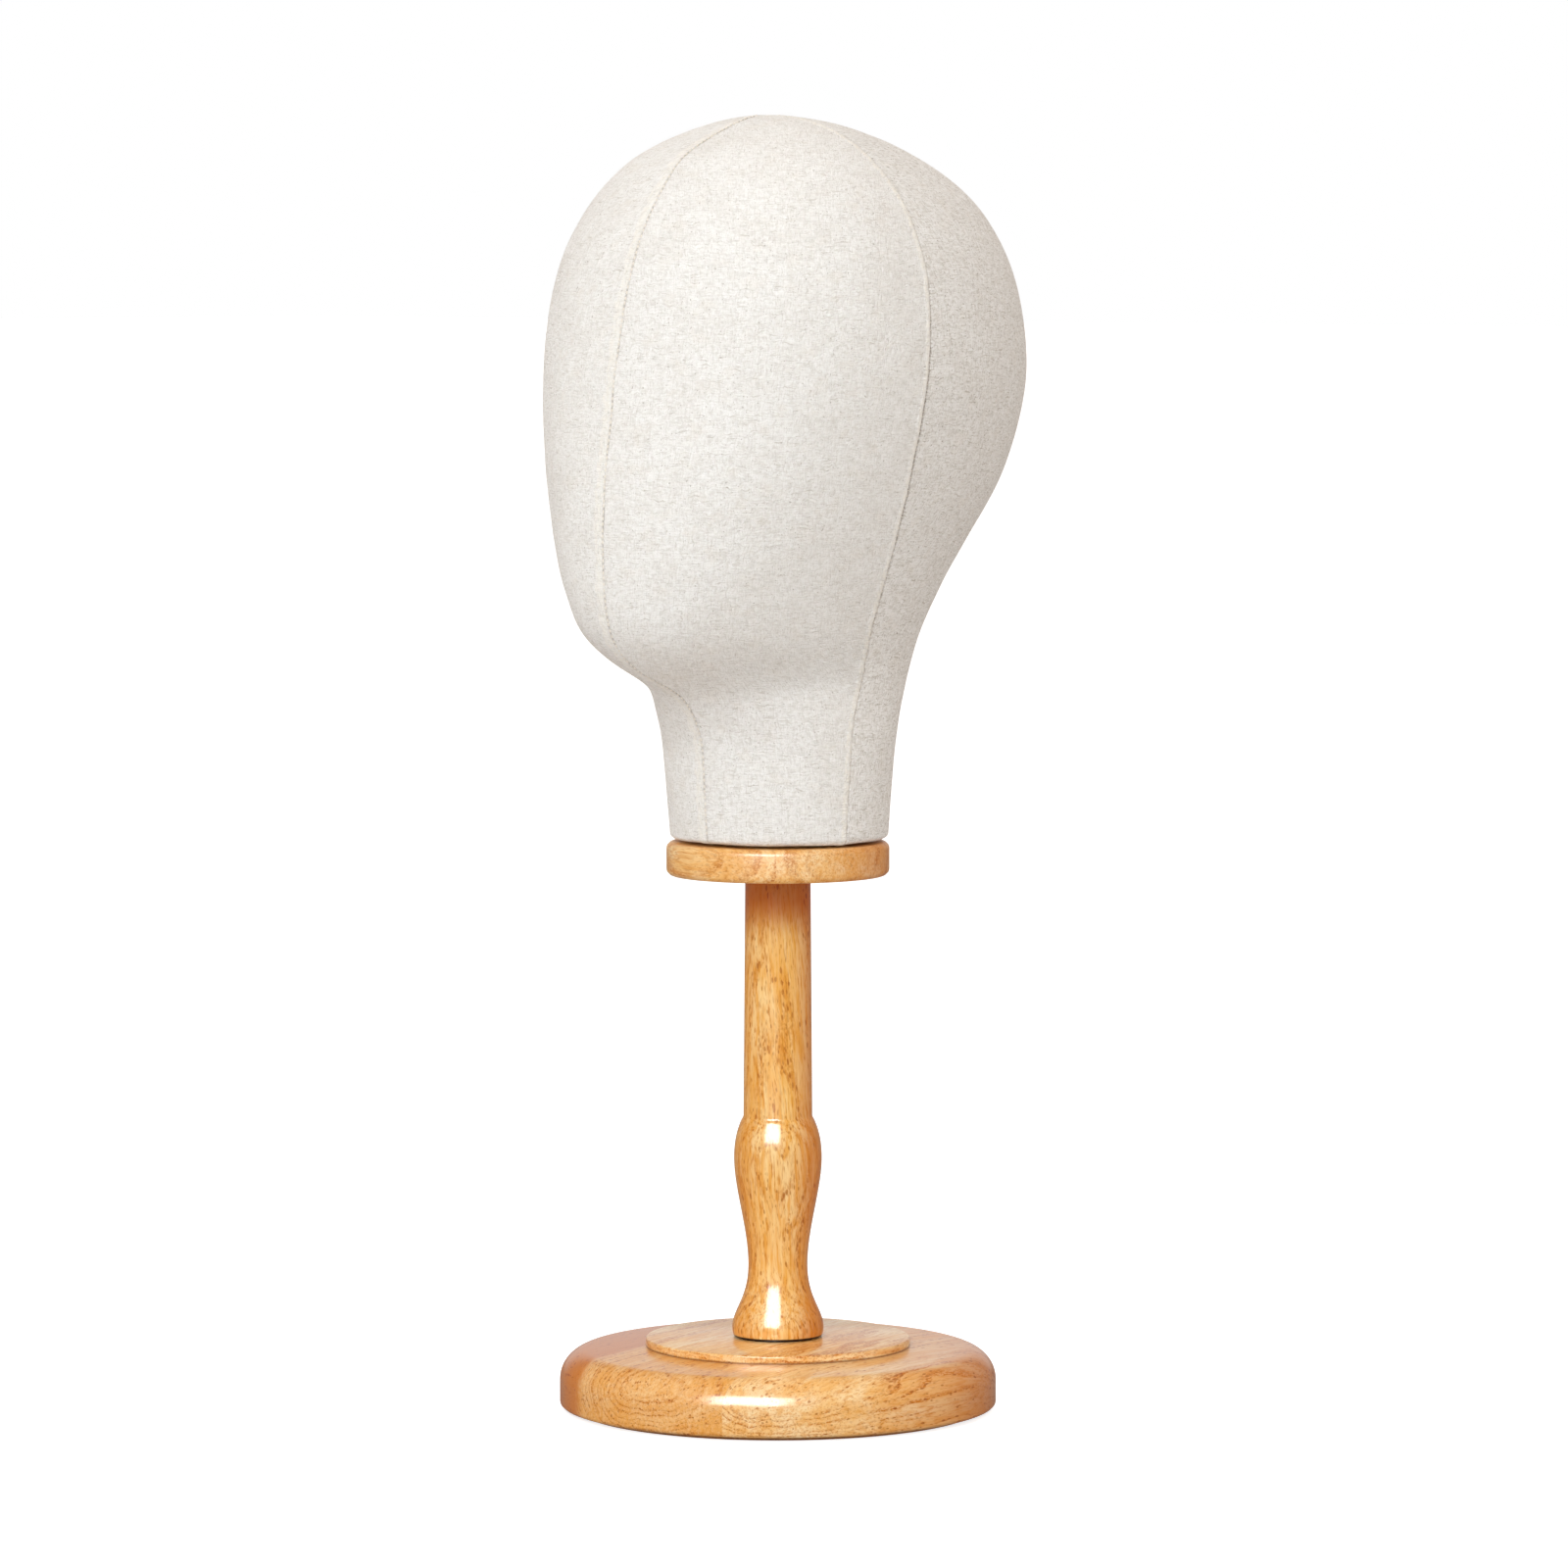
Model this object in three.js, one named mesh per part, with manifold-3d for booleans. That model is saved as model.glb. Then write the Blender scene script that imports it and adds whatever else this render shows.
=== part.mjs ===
import * as THREE from 'three';
import { mergeVertices } from 'three/addons/utils/BufferGeometryUtils.js';
import Module from 'manifold-3d';

// Mannequin head stand: a linen-covered display head on a turned wooden pole and a round base.
// Millimetres, +Z up. The face looks along -Y. The origin is the centre of the felt under the base.

const wasm = await Module();
wasm.setup();

// Clearances
const FIT_GAP = 0.3;
const THREAD_GAP = 0.15;
const TURN_GAP = 0.3;
const BOLT_END_ROOM = 2;

// How far a cutting shape runs past the face that it cuts
const CUT_PAST = 1;

// Sides of the turned pieces
const BROAD_SIDES = 40;
const POLE_SIDES = 32;
const SMALL_SIDES = 16;
const HEX_SIDES = 6;

// Steps along the pole's curves and along rounded edges
const CURVE_STEPS = 7;
const BROAD_ROUND_STEPS = 6;
const SMALL_ROUND_STEPS = 3;

// Felt and base
const FELT_THICKNESS = 1.5;
const FELT_INSET = 6;
const BASE_RADIUS = 82.5;
const BASE_THICKNESS = 22.5;
const BASE_TOP_FALL = 1.2;
const BASE_ROUND = 11.5;
const BASE_FOOT_ROUND = 1.7;
const RISER_RADIUS = 50.05;
const RISER_THICKNESS = 3.2;
const RISER_ROUND = 0.9;
const RISER_SEAT_RADIUS = RISER_RADIUS + 0.3;

// Pole: straight taper above, then a bulb, a waist and a flared foot, from the top down
const POLE_LENGTH = 175;
const POLE_TOP_RADIUS = 12.35;
const POLE_TOP_ROUND = 0.6;
const SHANK_FOOT_RADIUS = 13;
const SHANK_FOOT_HEIGHT = 84.2;
const BULB_RADIUS = 16.6;
const BULB_HEIGHT = 68.2;
const WAIST_RADIUS = 11.2;
const WAIST_HEIGHT = 27.4;
const FLARE_RADIUS = 17.35;
const FLARE_HEIGHT = 3.6;
const POLE_FOOT_RADIUS = 16.7;

// Small rebate round the bottom of the foot, seen as a thin dark line above the riser
const FOOT_REBATE_HEIGHT = 0.5;
const FOOT_REBATE_DEPTH = 1.5;

// Pull of the pole's curves at their ends, along the pole and outwards
const FLARE_PULL = 7;
const FLARE_LEAN = 0.25;
const WAIST_PULL_DOWN = 12.8;
const WAIST_PULL_UP = 13.8;
const BULB_PULL_DOWN = 12;
const BULB_PULL_UP = 8;
const CORNER_PULL = 3.2;
const CORNER_LEAN = 1.6;

// Fasteners
const THREAD_RADIUS = 4;
const BOLT_HOLE_RADIUS = THREAD_RADIUS + 0.5;
const BOLT_LENGTH = 40;
const BOLT_HEAD_RADIUS = THREAD_RADIUS + 3.5;
const BOLT_HEAD_HEIGHT = 5.3;
const BOLT_HEAD_CHAMFER = 0.6;
const HEX_KEY_RADIUS = 3.45;
const HEX_KEY_DEPTH = 3;
const WASHER_RADIUS = BOLT_HEAD_RADIUS + 3.5;
const WASHER_THICKNESS = 1.6;
const COUNTERBORE_RADIUS = WASHER_RADIUS + 1;
const COUNTERBORE_DEPTH = WASHER_THICKNESS + BOLT_HEAD_HEIGHT + 1.1;
const INSERT_RADIUS = THREAD_RADIUS + 2;
const INSERT_LENGTH = 18;
const INSERT_RIM_RADIUS = INSERT_RADIUS + 1.6;
const INSERT_RIM_THICKNESS = 1.4;
const HANGER_WOOD_LENGTH = 32;
const HANGER_THREAD_LENGTH = 28;
const HANGER_POINT_RADIUS = THREAD_RADIUS - 0.4;
const THREAD_END_CHAMFER = 1.2;
const POINT_LENGTH = 5;
const SCREW_COUNT = 3;
const SCREW_EDGE_DISTANCE = 8;
const SCREW_RADIUS = 2;
const SCREW_HEAD_RADIUS = SCREW_RADIUS + 1.8;
const SCREW_HEAD_LAND = 0.3;
const SCREW_HEAD_HEIGHT = 2.4;
const SCREW_LENGTH = 32;
const SCREW_SINK = 0.4;
const SCREW_CROSS_LENGTH = 5.6;
const SCREW_CROSS_WIDTH = 1;
const SCREW_CROSS_DEPTH = 1;

// Neck disc and plug
const NECK_RADIUS = 41;
const NECK_WALL = 13;
const DISC_OVERHANG = 1;
const DISC_THICKNESS = 12.7;
const DISC_ROUND = 2.5;
const PLUG_RADIUS = NECK_RADIUS - NECK_WALL;
const PLUG_LENGTH = 46;
const PLUG_CHAMFER = 2;
const SCREW_CIRCLE_RADIUS = PLUG_RADIUS - SCREW_EDGE_DISTANCE;

// Linen cover
const LINEN_THICKNESS = 1;
const LINEN_FOOT_ROUND = 3;
const TUCK_MARGIN = 3;
const LINEN_TUCK = NECK_WALL - LINEN_FOOT_ROUND - TUCK_MARGIN;
const SEAM_GAP = 0.3;
const PANEL_COLUMNS = 9;

// Head: reach from the pole's axis to the face, to the back and to each side.
// A station's level is its share of the height from the neck's foot to the crown.
const HEAD_HEIGHT = 272;
const CROWN_FORWARD = 5.5;
const HEAD_STATIONS = [
  { level: 0, front: NECK_RADIUS - 1, back: NECK_RADIUS + 1, side: NECK_RADIUS },
  { level: 0.074, front: NECK_RADIUS + 0.5, back: NECK_RADIUS + 2.5, side: NECK_RADIUS + 1.5 },
  { level: 0.132, front: NECK_RADIUS + 1.5, back: NECK_RADIUS + 4, side: NECK_RADIUS + 3 },
  { level: 0.173, front: 46.5, back: 48, side: 44.5 },
  { level: 0.211, front: 56, back: 53, side: 44.5 },
  { level: 0.248, front: 78.5, back: 57, side: 46 },
  { level: 0.292, front: 92, back: 61, side: 50 },
  { level: 0.371, front: 97, back: 74, side: 58 },
  { level: 0.496, front: 96.5, back: 102, side: 69 },
  { level: 0.625, front: 91.5, back: 114.5, side: 76.5 },
  { level: 0.735, front: 86, back: 111, side: 77 },
  { level: 0.816, front: 78.5, back: 101, side: 73 },
  { level: 0.886, front: 67, back: 85, side: 63.5 },
  { level: 0.941, front: 53, back: 60, side: 48.5 },
  { level: 0.978, front: 31.5, back: 31.5, side: 31.5 },
  { level: 1, front: CROWN_FORWARD, back: -CROWN_FORWARD, side: 0 },
];
const ROWS_PER_STATION = 2;
const CROWN_TIP_DROP = 0.003;

// Steps used to find the surface's normal, in radians and in millimetres.
// Near the crown the second is at most this share of the height that is left.
const NORMAL_TURN = 0.01;
const NORMAL_STEP = 0.5;
const NORMAL_CROWN_SHARE = 0.2;

// Face sections are near ellipses, pinched to a wedge under the chin and fuller at the cheeks
const ROUND_POWER = 2;
const CHIN_PINCH = 0.4;
const CHIN_LEVEL = 0.237;
const CHIN_SPREAD = 0.037;
const CHEEK_FULLNESS = 0.25;
const CHEEK_START = 0.257;
const CHEEK_END = 0.404;

// The widest line moves forward of the axis above the neck. The side seams slant forward down the
// neck, and run a little behind the widest line over the upper head.
const WIDEST_START = 0.147;
const WIDEST_END = 0.331;
const NECK_SEAM_LEAN = THREE.MathUtils.degToRad(11);
const SEAM_LEAN_START = 0.13;
const SEAM_LEAN_END = 0.28;
const CROWN_SEAM_BACK = THREE.MathUtils.degToRad(1.1);
const SEAM_BACK_START = 0.55;
const SEAM_BACK_END = 0.75;

// Heights of the stack, from the ground up
const BASE_BOTTOM = FELT_THICKNESS;
const BASE_TOP = BASE_BOTTOM + BASE_THICKNESS;
const RISER_TOP = BASE_TOP + RISER_THICKNESS;
const POLE_TOP = RISER_TOP + POLE_LENGTH;
const DISC_BOTTOM = POLE_TOP + TURN_GAP;
const DISC_RADIUS = NECK_RADIUS + DISC_OVERHANG;
const NECK_FOOT = DISC_THICKNESS + FIT_GAP;
const CORE_INSET = LINEN_THICKNESS + FIT_GAP;

const WOOD = new THREE.MeshStandardMaterial({ color: 0xd9a15f, roughness: 0.3 });
const INNER_WOOD = new THREE.MeshStandardMaterial({ color: 0xd8bd92, roughness: 0.7 });
const LINEN = new THREE.MeshStandardMaterial({ color: 0xe9e5dc, roughness: 0.95, side: THREE.DoubleSide });
const FOAM = new THREE.MeshStandardMaterial({ color: 0xf2efe6, roughness: 0.9 });
const FELT = new THREE.MeshStandardMaterial({ color: 0x2b2a28, roughness: 1 });
const STEEL = new THREE.MeshStandardMaterial({ color: 0xb8b9ba, roughness: 0.35, metalness: 1 });
const BRASS = new THREE.MeshStandardMaterial({ color: 0xc9a54e, roughness: 0.35, metalness: 1 });

function piece(name, geometry, material, z = 0) {
  const mesh = new THREE.Mesh(geometry, material);
  mesh.name = name;
  mesh.position.z = z;
  return mesh;
}

// Welded geometry with position only, as the solid library needs
function weld(geometry) {
  const bare = geometry.clone();
  bare.deleteAttribute('normal');
  bare.deleteAttribute('uv');
  return mergeVertices(bare, 1e-5);
}

function toSolid(geometry) {
  const bare = weld(geometry);
  const mesh = new wasm.Mesh({
    numProp: 3,
    vertProperties: new Float32Array(bare.getAttribute('position').array),
    triVerts: new Uint32Array(bare.getIndex().array),
  });
  return new wasm.Manifold(mesh);
}

function toGeometry(solid) {
  const mesh = solid.getMesh();
  const geometry = new THREE.BufferGeometry();
  geometry.setAttribute('position', new THREE.BufferAttribute(new Float32Array(mesh.vertProperties), 3));
  geometry.setIndex(new THREE.BufferAttribute(new Uint32Array(mesh.triVerts), 1));
  geometry.computeVertexNormals();
  return geometry;
}

function cut(geometry, ...tools) {
  let solid = toSolid(geometry);
  for (const tool of tools) {
    solid = solid.subtract(toSolid(tool));
  }
  return toGeometry(solid);
}

// A turned piece: profile points are [radius, height], up the outside
function turned(profile, sides) {
  const points = profile.map(([radius, height]) => new THREE.Vector2(radius, height));
  return new THREE.LatheGeometry(points, sides).rotateX(Math.PI / 2);
}

// A turned ring: the profile runs up the outside and down the bore, and closes on itself
function turnedRing(profile, sides) {
  return turned([...profile, profile[0]], sides);
}

function rod(radius, bottom, top, sides) {
  return turned([[0, bottom], [radius, bottom], [radius, top], [0, top]], sides);
}

// Points of an elliptical round, from start to end in quarter turns: -1 is down, 0 is out and 1 is up
function quarterRound(centre, width, rise, start, end, steps) {
  const points = [];
  for (let i = 0; i <= steps; i += 1) {
    const angle = (THREE.MathUtils.lerp(start, end, i / steps) * Math.PI) / 2;
    points.push([centre[0] + width * Math.cos(angle), centre[1] + rise * Math.sin(angle)]);
  }
  return points;
}

// A plain rounded corner of a turned piece, at its lower or its upper outside edge
function lowerRound(outside, bottom, size) {
  return quarterRound([outside - size, bottom + size], size, size, -1, 0, SMALL_ROUND_STEPS);
}

function upperRound(outside, top, size) {
  return quarterRound([outside - size, top - size], size, size, 0, 1, SMALL_ROUND_STEPS);
}

function curvePoints(start, leave, arrive, end) {
  const curve = new THREE.CubicBezierCurve(
    new THREE.Vector2(...start),
    new THREE.Vector2(...leave),
    new THREE.Vector2(...arrive),
    new THREE.Vector2(...end),
  );
  return curve.getPoints(CURVE_STEPS).map((point) => [point.x, point.y]);
}

function feltDisc() {
  return rod(BASE_RADIUS - FELT_INSET, 0, FELT_THICKNESS, BROAD_SIDES);
}

// Base plate: flat under the riser, then a top that falls gently to a round shoulder
function basePlate() {
  const shoulderStart = BASE_RADIUS - BASE_ROUND;
  const fall = Math.atan2(BASE_TOP_FALL, shoulderStart - RISER_SEAT_RADIUS);
  const shoulder = quarterRound(
    [shoulderStart, BASE_THICKNESS - BASE_TOP_FALL - BASE_ROUND],
    BASE_ROUND,
    BASE_ROUND,
    0,
    1 - fall / (Math.PI / 2),
    BROAD_ROUND_STEPS,
  );
  return turnedRing([
    [COUNTERBORE_RADIUS, 0],
    ...lowerRound(BASE_RADIUS, 0, BASE_FOOT_ROUND),
    ...shoulder,
    [RISER_SEAT_RADIUS, BASE_THICKNESS],
    [BOLT_HOLE_RADIUS, BASE_THICKNESS],
    [BOLT_HOLE_RADIUS, COUNTERBORE_DEPTH],
    [COUNTERBORE_RADIUS, COUNTERBORE_DEPTH],
  ], BROAD_SIDES);
}

function baseRiser() {
  return turnedRing([
    [BOLT_HOLE_RADIUS, 0],
    [RISER_RADIUS, 0],
    ...upperRound(RISER_RADIUS, RISER_THICKNESS, RISER_ROUND),
    [BOLT_HOLE_RADIUS, RISER_THICKNESS],
  ], BROAD_SIDES);
}

function washer() {
  return turnedRing([
    [BOLT_HOLE_RADIUS, 0],
    [WASHER_RADIUS, 0],
    [WASHER_RADIUS, WASHER_THICKNESS],
    [BOLT_HOLE_RADIUS, WASHER_THICKNESS],
  ], SMALL_SIDES);
}

// Socket-head bolt, with the underside of its head at height 0
function baseBolt() {
  const body = turned([
    [0, -BOLT_HEAD_HEIGHT],
    [BOLT_HEAD_RADIUS - BOLT_HEAD_CHAMFER, -BOLT_HEAD_HEIGHT],
    [BOLT_HEAD_RADIUS, BOLT_HEAD_CHAMFER - BOLT_HEAD_HEIGHT],
    [BOLT_HEAD_RADIUS, 0],
    [THREAD_RADIUS, 0],
    [THREAD_RADIUS, BOLT_LENGTH - THREAD_END_CHAMFER],
    [THREAD_RADIUS - THREAD_END_CHAMFER, BOLT_LENGTH],
    [0, BOLT_LENGTH],
  ], SMALL_SIDES);
  const socketTop = HEX_KEY_DEPTH - BOLT_HEAD_HEIGHT;
  const socket = rod(HEX_KEY_RADIUS, -BOLT_HEAD_HEIGHT - CUT_PAST, socketTop, HEX_SIDES);
  return cut(body, socket);
}

// Screwed-in brass insert with a thin rim at its mouth, mouth at height 0
function threadedInsert() {
  const bore = THREAD_RADIUS + THREAD_GAP;
  return turnedRing([
    [bore, 0],
    [INSERT_RIM_RADIUS, 0],
    [INSERT_RIM_RADIUS, INSERT_RIM_THICKNESS],
    [INSERT_RADIUS, INSERT_RIM_THICKNESS],
    [INSERT_RADIUS, INSERT_LENGTH],
    [bore, INSERT_LENGTH],
  ], SMALL_SIDES);
}

// The hole that an insert and the end of its bolt need, mouth at height 0
function insertHole(boltEnd) {
  const clear = THREAD_RADIUS + FIT_GAP;
  const depth = Math.max(boltEnd + BOLT_END_ROOM, INSERT_LENGTH + 2 * FIT_GAP);
  return turned([
    [0, -CUT_PAST],
    [INSERT_RIM_RADIUS + FIT_GAP, -CUT_PAST],
    [INSERT_RIM_RADIUS + FIT_GAP, INSERT_RIM_THICKNESS + FIT_GAP],
    [INSERT_RADIUS + FIT_GAP, INSERT_RIM_THICKNESS + FIT_GAP],
    [INSERT_RADIUS + FIT_GAP, INSERT_LENGTH + FIT_GAP],
    [clear, INSERT_LENGTH + FIT_GAP],
    [clear, depth],
    [0, depth],
  ], SMALL_SIDES);
}

// Turned pole: each stretch is one curve, with a crisp corner where the shank meets the bulb
function pole() {
  const flare = curvePoints(
    [FLARE_RADIUS, FLARE_HEIGHT],
    [FLARE_RADIUS - FLARE_LEAN, FLARE_HEIGHT + FLARE_PULL],
    [WAIST_RADIUS, WAIST_HEIGHT - WAIST_PULL_DOWN],
    [WAIST_RADIUS, WAIST_HEIGHT],
  );
  const swell = curvePoints(
    [WAIST_RADIUS, WAIST_HEIGHT],
    [WAIST_RADIUS, WAIST_HEIGHT + WAIST_PULL_UP],
    [BULB_RADIUS, BULB_HEIGHT - BULB_PULL_DOWN],
    [BULB_RADIUS, BULB_HEIGHT],
  );
  const shoulder = curvePoints(
    [BULB_RADIUS, BULB_HEIGHT],
    [BULB_RADIUS, BULB_HEIGHT + BULB_PULL_UP],
    [SHANK_FOOT_RADIUS + CORNER_LEAN, SHANK_FOOT_HEIGHT - CORNER_PULL],
    [SHANK_FOOT_RADIUS, SHANK_FOOT_HEIGHT],
  );
  const body = turned([
    [0, 0],
    [POLE_FOOT_RADIUS - FOOT_REBATE_DEPTH, 0],
    [POLE_FOOT_RADIUS - FOOT_REBATE_DEPTH, FOOT_REBATE_HEIGHT],
    [POLE_FOOT_RADIUS, FOOT_REBATE_HEIGHT],
    ...flare,
    ...swell.slice(1),
    ...shoulder.slice(1),
    [POLE_TOP_RADIUS, POLE_LENGTH - POLE_TOP_ROUND],
    [POLE_TOP_RADIUS - POLE_TOP_ROUND, POLE_LENGTH],
    [0, POLE_LENGTH],
  ], POLE_SIDES);
  const boltEnd = BOLT_LENGTH - (RISER_TOP - BASE_BOTTOM - COUNTERBORE_DEPTH + WASHER_THICKNESS);
  const footHole = insertHole(boltEnd);
  const headHole = rod(
    THREAD_RADIUS + FIT_GAP,
    POLE_LENGTH - HANGER_WOOD_LENGTH - FIT_GAP,
    POLE_LENGTH + CUT_PAST,
    SMALL_SIDES,
  );
  return cut(body, footHole, headHole);
}

// Hanger bolt: pointed wood screw below height 0, machine thread above
function hangerBolt() {
  return turned([
    [0, -HANGER_WOOD_LENGTH],
    [HANGER_POINT_RADIUS, POINT_LENGTH - HANGER_WOOD_LENGTH],
    [THREAD_RADIUS, 0],
    [THREAD_RADIUS, HANGER_THREAD_LENGTH - THREAD_END_CHAMFER],
    [THREAD_RADIUS - THREAD_END_CHAMFER, HANGER_THREAD_LENGTH],
    [0, HANGER_THREAD_LENGTH],
  ], SMALL_SIDES);
}

// Wood screw from below, with the face of its head at height 0
function discScrew() {
  const body = turned([
    [0, 0],
    [SCREW_HEAD_RADIUS, 0],
    [SCREW_HEAD_RADIUS, SCREW_HEAD_LAND],
    [SCREW_RADIUS, SCREW_HEAD_HEIGHT],
    [SCREW_RADIUS, SCREW_LENGTH - POINT_LENGTH],
    [0, SCREW_LENGTH],
  ], SMALL_SIDES);
  const bars = [0, Math.PI / 2].map((turn) => (
    new THREE.BoxGeometry(SCREW_CROSS_LENGTH, SCREW_CROSS_WIDTH, SCREW_CROSS_DEPTH * 2).rotateZ(turn)
  ));
  return cut(body, ...bars);
}

// The hole for one screw, wide enough to clear it all round
function screwHole() {
  const clear = SCREW_RADIUS + FIT_GAP;
  const wide = SCREW_HEAD_RADIUS + FIT_GAP;
  return turned([
    [0, -CUT_PAST],
    [wide, -CUT_PAST],
    [wide, SCREW_SINK + SCREW_HEAD_LAND + FIT_GAP],
    [clear, SCREW_SINK + SCREW_HEAD_HEIGHT + FIT_GAP],
    [clear, SCREW_SINK + SCREW_LENGTH + FIT_GAP],
    [0, SCREW_SINK + SCREW_LENGTH + FIT_GAP],
  ], SMALL_SIDES);
}

function screwPlaces() {
  return Array.from({ length: SCREW_COUNT }, (_, index) => {
    const angle = (index / SCREW_COUNT) * Math.PI * 2 + Math.PI / 2;
    return new THREE.Vector3(Math.cos(angle), Math.sin(angle), 0).multiplyScalar(SCREW_CIRCLE_RADIUS);
  });
}

function screwHoles() {
  return screwPlaces().map((place) => screwHole().translate(place.x, place.y, 0));
}

function neckDisc() {
  const body = turnedRing([
    [BOLT_HOLE_RADIUS, 0],
    ...lowerRound(DISC_RADIUS, 0, DISC_ROUND),
    ...upperRound(DISC_RADIUS, DISC_THICKNESS, DISC_ROUND),
    [BOLT_HOLE_RADIUS, DISC_THICKNESS],
  ], BROAD_SIDES);
  return cut(body, ...screwHoles());
}

// Plug in the neck, with its foot on the disc: it holds the insert and the three screws
function neckPlug() {
  const body = turned([
    [0, DISC_THICKNESS],
    [PLUG_RADIUS, DISC_THICKNESS],
    [PLUG_RADIUS, DISC_THICKNESS + PLUG_LENGTH - PLUG_CHAMFER],
    [PLUG_RADIUS - PLUG_CHAMFER, DISC_THICKNESS + PLUG_LENGTH],
    [0, DISC_THICKNESS + PLUG_LENGTH],
  ], POLE_SIDES);
  const boltEnd = HANGER_THREAD_LENGTH - TURN_GAP - DISC_THICKNESS;
  const bore = insertHole(boltEnd).translate(0, 0, DISC_THICKNESS);
  return cut(body, bore, ...screwHoles());
}

// Smooth curve through the stations. The square root of the drop from the crown keeps the crown round.
const stationDrops = HEAD_STATIONS.map((station) => Math.sqrt(HEAD_HEIGHT * (1 - station.level))).reverse();
const stationTables = Object.fromEntries(['front', 'back', 'side'].map((key) => (
  [key, HEAD_STATIONS.map((station) => station[key]).reverse()]
)));

function slopeAt(values, index) {
  const before = Math.max(index - 1, 0);
  const after = Math.min(index + 1, values.length - 1);
  return (values[after] - values[before]) / (stationDrops[after] - stationDrops[before]);
}

function reach(key, height) {
  const values = stationTables[key];
  const drop = Math.sqrt(Math.max(HEAD_HEIGHT - height, 0));
  let index = stationDrops.findIndex((value) => value > drop) - 1;
  if (index < 0) {
    index = stationDrops.length - 2;
  }
  const span = stationDrops[index + 1] - stationDrops[index];
  const s = (drop - stationDrops[index]) / span;
  const startWeight = (1 + 2 * s) * (1 - s) ** 2;
  const startPull = s * (1 - s) ** 2 * span;
  const endPull = s * s * (s - 1) * span;
  return startWeight * values[index]
    + startPull * slopeAt(values, index)
    + (1 - startWeight) * values[index + 1]
    + endPull * slopeAt(values, index + 1);
}

function signedPower(value, power) {
  return Math.sign(value) * Math.abs(value) ** power;
}

// Outer face of the linen. Angle 0 is the left side of the head, and minus a quarter turn is the face.
function headSurface(angle, height) {
  const level = height / HEAD_HEIGHT;
  const widest = -CROWN_FORWARD * THREE.MathUtils.smoothstep(level, WIDEST_START, WIDEST_END);
  const pinch = CHIN_PINCH * Math.exp(-(((level - CHIN_LEVEL) / CHIN_SPREAD) ** 2));
  const fullness = CHEEK_FULLNESS * THREE.MathUtils.smoothstep(level, CHEEK_START, CHEEK_END);
  const isFace = Math.sin(angle) < 0;
  const power = isFace ? ROUND_POWER - pinch + fullness : ROUND_POWER;
  const depth = isFace ? reach('front', height) + widest : reach('back', height) - widest;
  return new THREE.Vector3(
    reach('side', height) * signedPower(Math.cos(angle), 2 / power),
    widest + depth * signedPower(Math.sin(angle), 2 / power),
    height,
  );
}

function headNormal(angle, height) {
  const turn = NORMAL_TURN;
  const step = Math.min(NORMAL_STEP, (HEAD_HEIGHT - height) * NORMAL_CROWN_SHARE);
  const around = headSurface(angle + turn, height).sub(headSurface(angle - turn, height));
  const up = headSurface(angle, height + step).sub(headSurface(angle, height - step));
  return around.cross(up).normalize();
}

// Rows of the cover, from its tucked hem under the neck, round the foot and up to the crown
function coverRows() {
  const rows = [{ tuck: LINEN_TUCK }, { tuck: 0 }, { turn: Math.PI / 4 }, { height: LINEN_FOOT_ROUND }];
  const drops = [...stationDrops].reverse();
  for (let i = 1; i < drops.length; i += 1) {
    const above = Math.max(drops[i], Math.sqrt(CROWN_TIP_DROP));
    for (let row = 1; row <= ROWS_PER_STATION; row += 1) {
      const height = HEAD_HEIGHT - THREE.MathUtils.lerp(drops[i - 1], above, row / ROWS_PER_STATION) ** 2;
      if (height > LINEN_FOOT_ROUND) {
        rows.push({ height });
      }
    }
  }
  return rows;
}

// A point of the cover, moved in from its outer face by inset
function coverPoint(angle, row, inset) {
  if (row.height !== undefined && row.height > LINEN_FOOT_ROUND) {
    return headSurface(angle, row.height).addScaledVector(headNormal(angle, row.height), -inset);
  }
  const out = headNormal(angle, LINEN_FOOT_ROUND).setZ(0).normalize();
  const centre = headSurface(angle, LINEN_FOOT_ROUND).addScaledVector(out, -LINEN_FOOT_ROUND);
  const radius = LINEN_FOOT_ROUND - inset;
  const turn = row.tuck === undefined ? row.turn ?? 0 : Math.PI / 2;
  centre.addScaledVector(out, radius * Math.cos(turn) - (row.tuck ?? 0));
  centre.z -= radius * Math.sin(turn);
  return centre;
}

// Angle of a column inside one quarter of the head, between the centre seam and the side seam
function columnAngle(quarter, share, row) {
  const level = (row.height ?? 0) / HEAD_HEIGHT;
  const lean = NECK_SEAM_LEAN * (1 - THREE.MathUtils.smoothstep(level, SEAM_LEAN_START, SEAM_LEAN_END));
  const back = CROWN_SEAM_BACK * THREE.MathUtils.smoothstep(level, SEAM_BACK_START, SEAM_BACK_END);
  const forward = lean - back;
  const seams = [
    [-Math.PI / 2, -forward],
    [-forward, Math.PI / 2],
    [Math.PI / 2, Math.PI + forward],
    [Math.PI + forward, Math.PI * 1.5],
  ];
  return THREE.MathUtils.lerp(seams[quarter][0], seams[quarter][1], share);
}

function gridGeometry(points, triangles) {
  const geometry = new THREE.BufferGeometry().setFromPoints(points);
  geometry.setIndex(triangles);
  geometry.computeVertexNormals();
  return geometry;
}

function quad(triangles, a, b, c, d) {
  triangles.push(a, b, c, a, c, d);
}

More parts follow.
